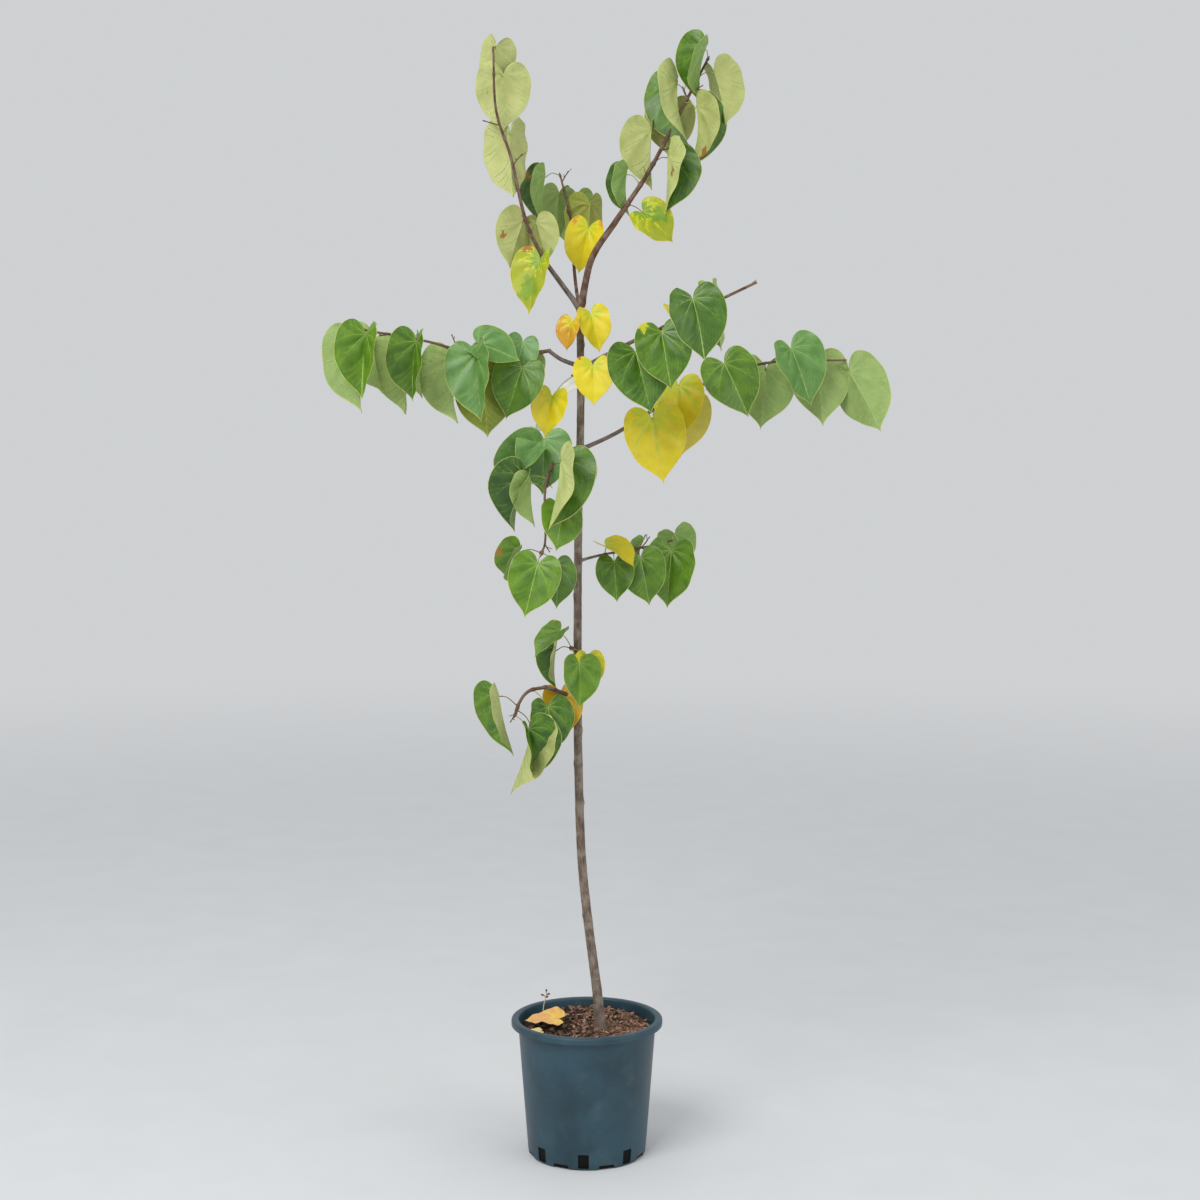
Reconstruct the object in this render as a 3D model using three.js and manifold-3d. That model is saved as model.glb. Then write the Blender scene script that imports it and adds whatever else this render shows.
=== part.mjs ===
// A young redbud tree in its nursery pot: a curved trunk with two leaders and seven side shoots,
// heart-shaped leaves on long stalks, and bark-topped compost in a plastic pot with a rolled rim.
// Millimetres, +Z up. The origin is the centre of the pot's flat underside, and -Y is the front.
import * as THREE from "three";
import { mergeVertices } from "three/addons/utils/BufferGeometryUtils.js";
import Module from "manifold-3d";

const wasm = await Module();
wasm.setup();

// Driving dimensions
const GAP = 0.3;
const SEGMENTS = 36;

const POT = {
  height: 258,
  baseRadius: 111,
  neckRadius: 129.5,
  wall: 2.2,
  floor: 3,
  footRound: 3,
  lipRadius: 142.5,
  lipHeight: 12.5,
  lipRound: 2.5,
};
const SLOT = { count: 8, width: 20, bottom: 4, top: 31, depth: 12, turn: -3 };
const NOTCH = { width: 36, topWidth: 28, height: 9, depth: 9, overrun: 1 };

const COMPOST = { edge: 228, dome: 3, heap: 16, lump: 1.6, lumpPitch: 9, rings: 5 };

const TRUNK = {
  route: [
    [26, 4, 229],
    [19, 4, 308],
    [3, 2, 434],
    [-10, 0, 568],
    [-16, 0, 760],
    [-17, 0, 983],
    [-15, 0, 1215],
    [-11, 0, 1400],
    [-12, 0, 1600],
  ],
  radius: [9.2, 6.6],
  flare: 6.5,
  flareHeight: 26,
  sides: 9,
  steps: 24,
  crowding: 1.6,
};

// The label is a plain white strip: one turn round the trunk and a hanging tail.
const LABEL = {
  height: 1447,
  width: 16,
  thickness: 1,
  slack: 2.4,
  turn: [200, -90],
  turnPoints: 7,
  tail: [
    [-34, -13, 1441],
    [-62, -13, 1413],
    [-90, -10, 1361],
  ],
  steps: 26,
};

const LEAF = {
  thickness: 0.014,
  stalkRadius: [1.5, 1.15],
  stalkSides: 3,
  stalkSteps: 3,
  archAt: 0.55,
  arch: 0.08,
  root: 5,
  clearance: 2,
};
// Each leaf's form is drawn between these ends: its stalk as a share of the mass's stalk, how its
// halves fold up and cup, how far the midrib bends back, and the ripple of its edge.
const FORM = {
  stalk: [0.9, 1.1],
  fold: [8, 26],
  cup: [-0.315, 0.585],
  bend: [0.1, 0.6],
  ripple: [0, 0.08],
  ripples: [5, 8],
  phase: [0, 360],
};
const FLATTEST_CUP = 0.001;

// Side twigs spring from a stem by turns of the golden angle, each drawn between these ends.
const TWIG = {
  spring: 137.5,
  sway: [-20, 20],
  spread: [38, 62],
  length: [18, 34],
  radius: [1.3, 0.9],
  sides: 3,
  steps: 1,
  span: [0.15, 0.9],
};

// A limb runs from inside what carries it to where its leaves begin.
const LIMBS = {
  right_leader: {
    from: "trunk",
    route: [
      [-10, 0, 1592],
      [10, 12, 1678],
      [52, 28, 1744],
      [73, 34, 1775],
    ],
    radius: [6.4, 5],
  },
  left_leader: {
    from: "trunk",
    route: [
      [-13, 0, 1586],
      [-53, -8, 1639],
      [-76, -14, 1670],
    ],
    radius: [5, 4],
  },
  middle_twig: {
    from: "trunk",
    route: [
      [-13, 4, 1588],
      [-19, 46, 1622],
      [-24, 72, 1672],
      [-24, 82, 1726],
    ],
    radius: [3.4, 2.8],
  },
  left_bough: {
    from: "trunk",
    route: [
      [-12, 0, 1480],
      [-45, -14, 1491],
      [-69, -24, 1507],
    ],
    radius: [4, 3.6],
  },
  right_upper_bough: {
    from: "trunk",
    route: [
      [-12, 0, 1474],
      [39, -26, 1501],
      [83, -50, 1522],
    ],
    radius: [4, 3.6],
  },
  right_long_bough: {
    from: "trunk",
    route: [
      [-12, 0, 1326],
      [56, 34, 1358],
      [118, 60, 1397],
    ],
    radius: [4, 3.4],
  },
  middle_left_bough: {
    from: "trunk",
    route: [
      [-13, 0, 1322],
      [-37, -40, 1328],
      [-55, -78, 1315],
    ],
    radius: [3.2, 2.8],
  },
  small_right_bough: {
    from: "trunk",
    route: [
      [-16, 0, 1120],
      [10, 30, 1126],
      [34, 60, 1130],
    ],
    radius: [2.8, 2.3],
  },
  low_left_bough: {
    from: "trunk",
    route: [
      [-17, 0, 861],
      [-49, -24, 879],
      [-77, -44, 890],
    ],
    radius: [4, 3.4],
  },
};
const LIMB_SIDES = 7;
const LIMB_STEPS = 7;

// Each mass has one stem, and its space is all that lies within its reach of the stem.
// A row of leaves is one leaf a line: where on the stem (0 to 1), the way its stalk points
// (turn from +X and rise above level), the way its upper face looks (turn from +X), its lean,
// how far it hangs from level, its length, and its fold where that isn't drawn.
const MASSES = {
  left_leader_leaves: {
    from: "left_leader",
    color: 0xa9b774,
    seed: 11,
    reach: 150,
    twigs: 3,
    stalk: 26,
    radius: [3.8, 1.9],
    stem: [
      [-76, -14, 1670],
      [-110, -26, 1741],
      [-136, -42, 1852],
      [-162, -55, 1935],
      [-166, -70, 2039],
    ],
    leaves: [
      [0.03, -100, -20, -128, 10, 78, 100],
      [0.2, 60, 35, 60, 12, 78, 80],
      [0.26, 100, 0, 128, -20, 80, 96],
      [0.6, 60, 35, 105, 0, 84, 124, 50],
      [0.9, 50, 10, 92, -2, 80, 106],
      [1.0, 80, 25, 78, -14, 80, 86, 38],
    ],
  },
  right_leader_leaves: {
    from: "right_leader",
    color: 0x5b9440,
    seed: 12,
    reach: 150,
    twigs: 4,
    stalk: 34,
    radius: [4.8, 2.2],
    stem: [
      [73, 34, 1775],
      [119, 50, 1847],
      [181, 72, 1966],
      [226, 88, 2053],
    ],
    leaves: [
      [0.02, -10, -30, -85, -48, 74, 78],
      [0.2, 178, 45, -168, 4, 80, 84, 44],
      [0.36, 0, 30, -35, 14, 80, 120, 54],
      [0.46, 178, 52, 135, -2, 82, 112, 45],
      [0.7, -172, 62, -165, -14, 80, 132, 44],
      [0.6, 120, 40, 90, 0, 80, 96],
      [0.68, -55, -20, -16, -6, 80, 116, 50],
      [0.86, -20, 20, 62, 16, 80, 112, 45],
      [1.0, -100, 30, -155, 24, 78, 106, 42],
    ],
  },
  middle_leaves: {
    from: "middle_twig",
    color: 0x9db064,
    seed: 13,
    reach: 130,
    twigs: 2,
    stalk: 44,
    radius: [2.7, 1.7],
    stem: [
      [-24, 82, 1726],
      [-36, 92, 1784],
      [-50, 100, 1840],
    ],
    leaves: [
      [0.03, -45, 10, -100, 14, 84, 86],
      [0.42, 5, 18, 115, 0, 82, 96, 25],
      [0.5, 85, 10, 80, 0, 80, 84],
      [0.75, 60, -5, 90, 0, 80, 70],
      [0.62, 110, 20, 120, -4, 78, 78],
      [1.0, -125, -5, -160, 8, 82, 98, 44],
    ],
  },
  left_bough_leaves: {
    from: "left_bough",
    color: 0x6f9e4a,
    seed: 14,
    reach: 150,
    twigs: 4,
    stalk: 30,
    radius: [3.5, 1.8],
    stem: [
      [-69, -24, 1507],
      [-171, -60, 1489],
      [-280, -96, 1519],
      [-396, -130, 1539],
    ],
    leaves: [
      [0.05, 165, -15, 75, -10, 80, 76],
      [0.12, -120, -45, -90, 18, 78, 100],
      [0.17, 0, 80, -85, 12, 80, 70],
      [0.4, -90, 55, -85, -72, 62, 80],
      [0.4, 80, -60, 92, 5, 84, 120],
      [0.48, 80, 10, 71, 0, 76, 92],
      [0.48, -45, -6, -125, -8, 82, 124, 38],
      [0.57, 75, -38, 135, -6, 86, 122, 44],
      [0.75, 80, -5, 135, 0, 88, 104, 50],
      [0.77, -58, -18, -117, 8, 82, 108, 39],
      [0.8, 100, -35, 135, 0, 88, 122, 46],
      [0.95, 95, -10, 135, 0, 88, 108, 50],
      [1.0, -70, -22, -112, 5, 82, 114, 36],
      [1.0, 125, -35, 135, -3, 90, 134, 46],
    ],
  },
  right_upper_leaves: {
    from: "right_upper_bough",
    color: 0x5b9440,
    seed: 16,
    reach: 150,
    twigs: 2,
    stalk: 26,
    radius: [3.5, 2.4],
    stem: [
      [83, -50, 1522],
      [152, -90, 1552],
      [225, -126, 1586],
      [301, -150, 1621],
    ],
    leaves: [
      [0.04, -100, -65, -90, -14, 80, 118],
      [0.27, -100, -25, -95, -10, 78, 106],
      [0.36, 90, -40, 90, 0, 84, 62],
      [0.6, -150, 30, -80, -13, 80, 114],
      [0.66, 90, 50, 95, 10, 82, 106, 58],
      [0.4, 120, 50, -60, 10, 30, 56],
    ],
  },
  right_long_leaves: {
    from: "right_long_bough",
    color: 0x7aa548,
    seed: 15,
    reach: 175,
    twigs: 4,
    stalk: 28,
    radius: [3.3, 1.8],
    stem: [
      [118, 60, 1397],
      [214, 92, 1448],
      [341, 126, 1491],
      [494, 160, 1498],
    ],
    leaves: [
      [0.03, -100, -35, -90, -10, 78, 124],
      [0.22, 80, -30, 80, -4, 80, 108],
      [0.24, -120, 25, -92, 2, 76, 104],
      [0.46, -90, 50, -78, -24, 76, 112],
      [0.66, 80, -20, 74, -4, 82, 118],
      [0.76, -60, 60, -68, -22, 80, 118],
      [0.88, 80, -10, 70, 6, 82, 122],
      [1.0, -10, -66, 76, 30, 80, 132],
    ],
  },
  middle_left_leaves: {
    from: "middle_left_bough",
    color: 0x4f8a3a,
    seed: 17,
    reach: 150,
    twigs: 2,
    stalk: 36,
    radius: [2.7, 1.7],
    stem: [
      [-55, -78, 1315],
      [-66, -104, 1288],
      [-74, -118, 1252],
      [-73, -132, 1168],
      [-80, -140, 1142],
    ],
    leaves: [
      [0.08, 160, 34, -120, 55, 80, 118, 46],
      [0.02, 178, 58, -88, 2, 78, 102],
      [0.36, 178, 4, -138, 28, 84, 118, 44],
      [0.5, -150, 35, -178, 0, 86, 84, 60],
      [0.05, 0, -5, -60, -2, 78, 72],
      [0.24, -50, 30, -32, 14, 82, 130, 56],
      [0.58, 20, -15, -60, 20, 60, 84],
      [0.99, 172, 8, -142, 36, 80, 78, 50],
      [1.0, -100, -28, -90, 14, 80, 98],
      [0.98, 0, -40, -50, 2, 80, 80],
    ],
  },
  small_right_leaves: {
    from: "small_right_bough",
    color: 0x5b9440,
    seed: 19,
    reach: 150,
    twigs: 2,
    stalk: 20,
    radius: [2.2, 1.6],
    stem: [
      [34, 60, 1130],
      [101, 110, 1139],
      [162, 150, 1151],
    ],
    leaves: [
      [0.0, 80, 45, -60, -20, 22, 76],
      [0.12, -75, -72, -90, -4, 80, 76],
      [0.45, 40, 40, 150, 0, 60, 50],
      [0.46, -60, -55, -88, -11, 82, 94],
      [0.95, -60, -55, -92, 4, 82, 112],
      [1.0, 60, 40, 100, 24, 60, 76],
    ],
  },
  trunk_tuft_leaves: {
    from: "trunk",
    color: 0x5b9440,
    seed: 20,
    reach: 120,
    twigs: 0,
    stalk: 36,
    radius: [2.6, 2],
    stem: [
      [-17, 0, 952],
      [-24, -20, 958],
      [-30, -34, 962],
    ],
    leaves: [
      [0.75, 178, 55, -130, 20, 40, 70],
      [0.8, 140, -4, -150, 4, 80, 78, 38],
      [0.85, 15, -30, -75, 0, 84, 66],
      [1.0, -8, -60, -64, 2, 80, 84],
    ],
  },
  low_left_leaves: {
    from: "low_left_bough",
    color: 0x5b9440,
    seed: 21,
    reach: 170,
    twigs: 1,
    stalk: 44,
    radius: [3.3, 2.6],
    stem: [
      [-77, -44, 890],
      [-105, -66, 886],
      [-121, -80, 869],
      [-130, -92, 845],
    ],
    leaves: [
      [0.8, -178, 34, -158, 0, 100, 122, 28],
      [0.88, 22, -44, 8, 0, 104, 134, 34],
      [1.0, -42, -34, -45, -16, 86, 106, 42],
      [0.25, -5, -48, -60, -4, 82, 94],
      [0.0, 48, -20, -80, -6, 70, 84],
    ],
  },
  upper_trunk_leaves: {
    from: "trunk",
    color: 0xd9b52a,
    seed: 22,
    reach: 90,
    twigs: 0,
    stalk: 22,
    radius: [2.2, 1.8],
    stem: [
      [-12, 0, 1560],
      [-11, -12, 1561],
      [-10, -22, 1563],
    ],
    leaves: [
      [0.9, -135, -10, -115, 10, 72, 54],
      [1.0, -10, 30, -80, -13, 72, 72],
    ],
  },
  lower_trunk_leaves: {
    from: "trunk",
    color: 0xdcc22f,
    seed: 23,
    reach: 150,
    twigs: 0,
    stalk: 52,
    radius: [2.2, 1.8],
    stem: [
      [-12, 0, 1460],
      [-16, -12, 1461],
      [-24, -22, 1462],
    ],
    leaves: [
      [0.9, -41, 22, -92, -2, 72, 76],
      [1.0, -172, -44, -95, 9, 74, 78],
    ],
  },
};
const STEM_SIDES = 5;
const STEM_STEPS = 9;

// Finishes
const finish = (color, roughness) =>
  new THREE.MeshStandardMaterial({ color, roughness, metalness: 0 });
const TEAL_PLASTIC = finish(0x2d4b55, 0.55);
const BARK_COMPOST = finish(0x5a3f2c, 0.95);
const GREY_BARK = finish(0x6e5f55, 0.85);
const WHITE_STRIP = finish(0xe6e6e2, 0.5);
const LEAF_ROUGHNESS = 0.6;
const rad = THREE.MathUtils.degToRad;
const lerp = THREE.MathUtils.lerp;
const vector = (p) => new THREE.Vector3(...p);

// The way that a turn from +X and a rise above level point.
function direction(turn, rise) {
  const level = Math.cos(rad(rise));
  return vector([Math.cos(rad(turn)) * level, Math.sin(rad(turn)) * level, Math.sin(rad(rise))]);
}

// Numbers from 0 to 1 in an order fixed by the seed.
function seededRandom(seed) {
  let state = Math.imul(seed, 2654435761) >>> 0;
  const next = () => {
    state = (Math.imul(state, 1664525) + 1013904223) >>> 0;
    return state / 4294967296;
  };
  for (let i = 0; i < 3; i++) next();
  return next;
}

// Solids and meshes
function toSolid(geometry) {
  const bare = geometry.clone();
  bare.deleteAttribute("normal");
  bare.deleteAttribute("uv");
  const merged = mergeVertices(bare, 1e-4);
  const vertProperties = new Float32Array(merged.attributes.position.array);
  const triVerts = new Uint32Array(merged.index.array);
  return new wasm.Manifold(new wasm.Mesh({ numProp: 3, vertProperties, triVerts }));
}

function indexedGeometry(points, faces) {
  const geometry = new THREE.BufferGeometry();
  geometry.setAttribute("position", new THREE.Float32BufferAttribute(points.flat(), 3));
  geometry.setIndex(faces.flat());
  return geometry;
}

// The largest body of a solid, as loose scrap is dropped.
function mainBody(solid) {
  return solid.decompose().reduce((best, body) => (body.volume() > best.volume() ? body : best));
}

function toMesh(name, solid, material) {
  const { vertProperties, triVerts } = solid.getMesh();
  const geometry = new THREE.BufferGeometry();
  geometry.setAttribute("position", new THREE.BufferAttribute(vertProperties, 3));
  geometry.setIndex(new THREE.BufferAttribute(triVerts, 1));
  geometry.computeVertexNormals();
  const mesh = new THREE.Mesh(geometry, material);
  mesh.name = name;
  return mesh;
}

// Routes and limbs
const routeOf = (points) =>
  new THREE.CatmullRomCurve3(points.map(vector), false, "catmullrom", 0.5);

function tangentAt(route, t) {
  const step = 0.01;
  const ahead = route.getPoint(Math.min(t + step, 1));
  return ahead.sub(route.getPoint(Math.max(t - step, 0))).normalize();
}

// A closed solid along a route. sectionAt gives its outline at a share of the way, as steps across
// and up, the same count each time. Growing it moves both ends out.
function sweptSolid(route, sectionAt, shares, grown = 0) {
  const points = [];
  const faces = [];
  const last = shares.length - 1;
  let sides = 0;
  let across = new THREE.Vector3(0, 1, 0);
  shares.forEach((share, i) => {
    const along = tangentAt(route, share);
    across = across.clone().addScaledVector(along, -across.dot(along)).normalize();
    const up = along.clone().cross(across);
    const end = i === 0 ? -grown : i === last ? grown : 0;
    const centre = route.getPoint(share).addScaledVector(along, end);
    const section = sectionAt(share, centre);
    sides = section.length;
    for (const [a, u] of section)
      points.push(centre.clone().addScaledVector(across, a).addScaledVector(up, u).toArray());
  });
  for (let i = 0; i < last; i++)
    for (let k = 0; k < sides; k++) {
      const a = i * sides + k;
      const b = i * sides + ((k + 1) % sides);
      faces.push([a, b, b + sides], [a, b + sides, a + sides]);
    }
  const end = last * sides;
  for (let k = 1; k < sides - 1; k++) faces.push([0, k + 1, k], [end, end + k, end + k + 1]);
  return toSolid(indexedGeometry(points, faces));
}

const evenShares = (steps) => Array.from({ length: steps + 1 }, (_, i) => i / steps);

// A closed tapering tube along a route. Growing it adds to its radius and to both ends.
function limbSolid(route, radiusAt, sides, shares, grown = 0) {
  const turns = Array.from({ length: sides }, (_, k) => (k / sides) * 2 * Math.PI);
  const sectionAt = (share, centre) => {
    const radius = radiusAt(share, centre) + grown;
    return turns.map((turn) => [Math.cos(turn) * radius, Math.sin(turn) * radius]);
  };
  return sweptSolid(route, sectionAt, shares, grown);
}

const taper = ([start, end]) => (t) => lerp(start, end, t);

function trunkRadius(t, centre) {
  const height = centre.z - TRUNK.route[0][2];
  return lerp(...TRUNK.radius, t) + TRUNK.flare * Math.exp(-height / TRUNK.flareHeight);
}

const trunkRoute = routeOf(TRUNK.route);
const trunkShares = evenShares(TRUNK.steps).map((share) => share ** TRUNK.crowding);
const trunkSolid = (grown) => limbSolid(trunkRoute, trunkRadius, TRUNK.sides, trunkShares, grown);

const limbRoutes = Object.fromEntries(
  Object.entries(LIMBS).map(([name, limb]) => [name, routeOf(limb.route)]),
);
function plainLimb(name, grown) {
  const radiusAt = taper(LIMBS[name].radius);
  return limbSolid(limbRoutes[name], radiusAt, LIMB_SIDES, evenShares(LIMB_STEPS), grown);
}
const grownLimb = (name) => (name === "trunk" ? trunkSolid(GAP) : plainLimb(name, GAP));

// Each limb is cut clear of the trunk and of the limbs made before it.
function limbMeshes() {
  const cutters = [trunkSolid(GAP)];
  return Object.keys(LIMBS).map((name) => {
    const clear = cutters.reduce((left, cutter) => left.subtract(cutter), plainLimb(name, 0));
    cutters.push(plainLimb(name, GAP));
    return toMesh(name, mainBody(clear), GREY_BARK);
  });
}

// Leaves
const tipToSide = new THREE.CubicBezierCurve(
  new THREE.Vector2(0, 1),
  new THREE.Vector2(0.04, 0.8),
  new THREE.Vector2(0.47, 0.72),
  new THREE.Vector2(0.5, 0.24),
);
const sideToNotch = new THREE.CubicBezierCurve(
  new THREE.Vector2(0.5, 0.24),
  new THREE.Vector2(0.53, -0.2),
  new THREE.Vector2(0.15, -0.38),
  new THREE.Vector2(0, 0),
);
// Half the outline of a leaf one long, with the stalk at 0,0, from the tip (0) to the notch (1).
const outlineAt = (s) => (s < 0.5 ? tipToSide.getPoint(s * 2) : sideToNotch.getPoint(s * 2 - 1));

// The stations along half the outline, with the place on the midrib that each is joined to.
const OUTLINE_STATIONS = [0, 0.16, 0.32, 0.48, 0.64, 0.82, 1];
const MIDRIB_STATIONS = [1, 0.72, 0.42, 0.16, 0, 0, 0];

// A leaf's place and form, worked out from its row and the seed's next numbers.
function leafFrom(row, stemRoute, stalk, random) {
  const [at, stalkTurn, stalkRise, facing, lean, hang, length, fold] = row;
  const drawn = ([low, high]) => lerp(low, high, random());
  const start = stemRoute.getPoint(at);
  const joint = start.clone().addScaledVector(direction(stalkTurn, stalkRise), stalk * drawn(FORM.stalk));
  const axis = direction(facing, -hang);
  const normal = direction(facing, 90 - hang);
  axis.applyAxisAngle(normal, rad(-lean));
  const leaf = { start, joint, axis, normal, side: axis.clone().cross(normal), length };
  const drawnFold = drawn(FORM.fold);
  leaf.fold = rad(fold ?? drawnFold);
  leaf.cup = drawn(FORM.cup);
  if (Math.abs(leaf.cup) < FLATTEST_CUP) leaf.cup = FLATTEST_CUP;
  leaf.bend = drawn(FORM.bend);
  leaf.ripple = drawn(FORM.ripple);
  leaf.ripples = drawn(FORM.ripples);
  leaf.phase = rad(drawn(FORM.phase));
  return leaf;
}

// A point of the blade, x across and y along in leaf lengths, lifted off the surface by some mm.
// Each half turns up from the midrib by the fold and then cups, and the midrib bends back.
function bladePoint(leaf, x, y, lift) {
  const half = x < 0 ? -1 : 1;
  const out = Math.abs(x);
  const turned = leaf.fold + leaf.cup * out;
  const across = (Math.sin(turned) - Math.sin(leaf.fold)) / leaf.cup;
  const ripple = leaf.ripple * Math.sin(leaf.ripples * y + leaf.phase * half) * out;
  const rise = (Math.cos(leaf.fold) - Math.cos(turned)) / leaf.cup + ripple;
  const back = leaf.bend * y;
  const sideways = half * (across * leaf.length - Math.sin(turned) * lift);
  const high = rise * leaf.length + Math.cos(turned) * lift;
  const along = (Math.sin(back) / leaf.bend) * leaf.length + Math.sin(back) * high;
  const off = (-(1 - Math.cos(back)) / leaf.bend) * leaf.length + Math.cos(back) * high;
  return leaf.joint
    .clone()
    .addScaledVector(leaf.side, sideways)
    .addScaledVector(leaf.axis, along)
    .addScaledVector(leaf.normal, off);
}

function bladeSolid(leaf) {
  const lift = (leaf.length * LEAF.thickness) / 2;
  const last = OUTLINE_STATIONS.length - 1;
  const points = [];
  const faces = [];
  const place = new Map();
  const vertex = (side, kind, k, face) => {
    const shared = kind === "rib" || k === 0 || k === last;
    const station = kind === "edge" && shared ? (k === 0 ? 1 : 0) : MIDRIB_STATIONS[k];
    const key = shared ? `rib ${station} ${face}` : `${side} ${k} ${face}`;
    if (!place.has(key)) {
      const flat = shared ? { x: 0, y: station } : outlineAt(OUTLINE_STATIONS[k]);
      place.set(key, points.length);
      points.push(bladePoint(leaf, side * flat.x, flat.y, face * lift).toArray());
    }
    return place.get(key);
  };
  const addFace = (corners, flip) => {
    const [a, b, c] = flip ? [corners[0], corners[2], corners[1]] : corners;
    if (a !== b && b !== c && a !== c) faces.push([a, b, c]);
  };
  for (const side of [-1, 1])
    for (let k = 0; k < last; k++) {
      for (const face of [-1, 1]) {
        const [ribA, ribB] = [vertex(side, "rib", k, face), vertex(side, "rib", k + 1, face)];
        const [edgeA, edgeB] = [vertex(side, "edge", k, face), vertex(side, "edge", k + 1, face)];
        const flip = side * face < 0;
        addFace([ribA, ribB, edgeB], flip);
        addFace([ribA, edgeB, edgeA], flip);
      }
      const [topA, topB] = [vertex(side, "edge", k, 1), vertex(side, "edge", k + 1, 1)];
      const [lowA, lowB] = [vertex(side, "edge", k, -1), vertex(side, "edge", k + 1, -1)];
      addFace([topA, topB, lowB], side < 0);
      addFace([topA, lowB, lowA], side < 0);
    }
  return toSolid(indexedGeometry(points, faces));
}

// The stalk leaves the stem, arches a little and runs on into the blade along the midrib.
function stalkSolid(leaf) {
  const middle = leaf.start.clone().lerp(leaf.joint, LEAF.archAt);
  middle.z += LEAF.arch * leaf.start.distanceTo(leaf.joint);
  const root = leaf.joint.clone().addScaledVector(leaf.axis, LEAF.root);
  const route = routeOf([leaf.start, middle, root].map((p) => p.toArray()));
  return limbSolid(route, taper(LEAF.stalkRadius), LEAF.stalkSides, evenShares(LEAF.stalkSteps));
}

// The ends of a side twig, which leaves the stem by the golden angle and points on along it.
function twigFrom(index, count, stemRoute, random) {
  const drawn = ([low, high]) => lerp(low, high, random());
  const at = lerp(...TWIG.span, (index + random()) / count);
  const along = tangentAt(stemRoute, at);
  const away = direction(0, 0).cross(along).normalize();
  away.applyAxisAngle(along, rad(index * TWIG.spring + drawn(TWIG.sway)));
  const spread = rad(drawn(TWIG.spread));
  const start = stemRoute.getPoint(at);
  const way = along.multiplyScalar(Math.cos(spread)).addScaledVector(away, Math.sin(spread));
  return { start, end: start.clone().addScaledVector(way, drawn(TWIG.length)) };
}

function twigSolid({ start, end }) {
  const route = routeOf([start, end].map((p) => p.toArray()));
  return limbSolid(route, taper(TWIG.radius), TWIG.sides, evenShares(TWIG.steps));
}

// Every limb as a row of balls along it, which leaves and twigs stay clear of.
const BALLS = 60;
const ballsAlong = (route, radiusAt) =>
  evenShares(BALLS).map((share) => {
    const centre = route.getPoint(share);
    return { centre, radius: radiusAt(share, centre) };
  });
const limbBalls = [
  ...ballsAlong(trunkRoute, trunkRadius),
  ...Object.keys(LIMBS).flatMap((name) => ballsAlong(limbRoutes[name], taper(LIMBS[name].radius))),
];
const within = (balls, distance) => (point) =>
  balls.some(({ centre, radius }) => centre.distanceTo(point) < radius + distance);

// Points all over a blade: its edge, and the middle of each half.
function bladeSamples(leaf) {
  return [-1, 1].flatMap((side) =>
    OUTLINE_STATIONS.flatMap((station) => {
      const edge = outlineAt(station);
      return [0.5, 1].map((share) => bladePoint(leaf, side * edge.x * share, edge.y * share, 0));
    }),
  );
}

// Whether the points keep to the mass's space and touch no limb.
function fits(points, stemRoute, reach) {
  const touchesLimb = within(limbBalls, LEAF.clearance);
  const inSpace = within(ballsAlong(stemRoute, () => 0), reach);
  return points.every((point) => inSpace(point) && !touchesLimb(point));
}

// One mass: its stem, with the leaves and side twigs that fit, fused and cut clear of its limb.
function massMesh(name) {
  const { from, color, seed, reach, twigs, stalk, radius, stem, leaves } = MASSES[name];
  const stemRoute = routeOf(stem);
  const random = seededRandom(seed);
  let fused = limbSolid(stemRoute, taper(radius), STEM_SIDES, evenShares(STEM_STEPS));
  for (const row of leaves) {
    const leaf = leafFrom(row, stemRoute, stalk, random);
    if (fits(bladeSamples(leaf), stemRoute, reach))
      fused = fused.add(stalkSolid(leaf)).add(bladeSolid(leaf));
  }
  for (let i = 0; i < twigs; i++) {
    const twig = twigFrom(i, twigs, stemRoute, random);
    if (fits([twig.end], stemRoute, reach)) fused = fused.add(twigSolid(twig));
  }
  return toMesh(name, mainBody(fused.subtract(grownLimb(from))), finish(color, LEAF_ROUGHNESS));
}

// Pot and compost
const wallRadius = (z) =>
  lerp(POT.baseRadius, POT.neckRadius, z / (POT.height - POT.lipHeight));

function turned(profile) {
  const lathe = new THREE.LatheGeometry(
    profile.map(([r, z]) => new THREE.Vector2(r, z)),
    SEGMENTS,
  );
  return lathe.rotateX(Math.PI / 2);
}

// The wall with its floor and its rolled lip, as an outline turned round the pot's axis.
function potShell() {
  const lipFoot = POT.height - POT.lipHeight;
  const innerTop = wallRadius(POT.height) - POT.wall;
  const innerFoot = wallRadius(POT.floor) - POT.wall;
  return toSolid(
    turned([
      [0, 0],
      [POT.baseRadius - POT.footRound, 0],
      [wallRadius(POT.footRound), POT.footRound],
      [wallRadius(lipFoot), lipFoot],
      [POT.lipRadius - POT.lipRound, lipFoot],
      [POT.lipRadius, lipFoot + POT.lipRound],
      [POT.lipRadius, POT.height - POT.lipRound],
      [POT.lipRadius - POT.lipRound, POT.height],
      [innerTop + POT.lipRound, POT.height],
      [innerTop, POT.height - POT.lipRound],
      [innerFoot, POT.floor],
      [0, POT.floor],
    ]),
  );
}

// Drainage: upright slots in the wall, and notches open at the foot between them.
function slotCutter(turn) {
  const slot = new THREE.BoxGeometry(SLOT.width, SLOT.depth, SLOT.top - SLOT.bottom);
  slot.translate(0, POT.wall - wallRadius(SLOT.top), (SLOT.top + SLOT.bottom) / 2);
  return toSolid(slot.rotateZ(turn));
}

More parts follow.
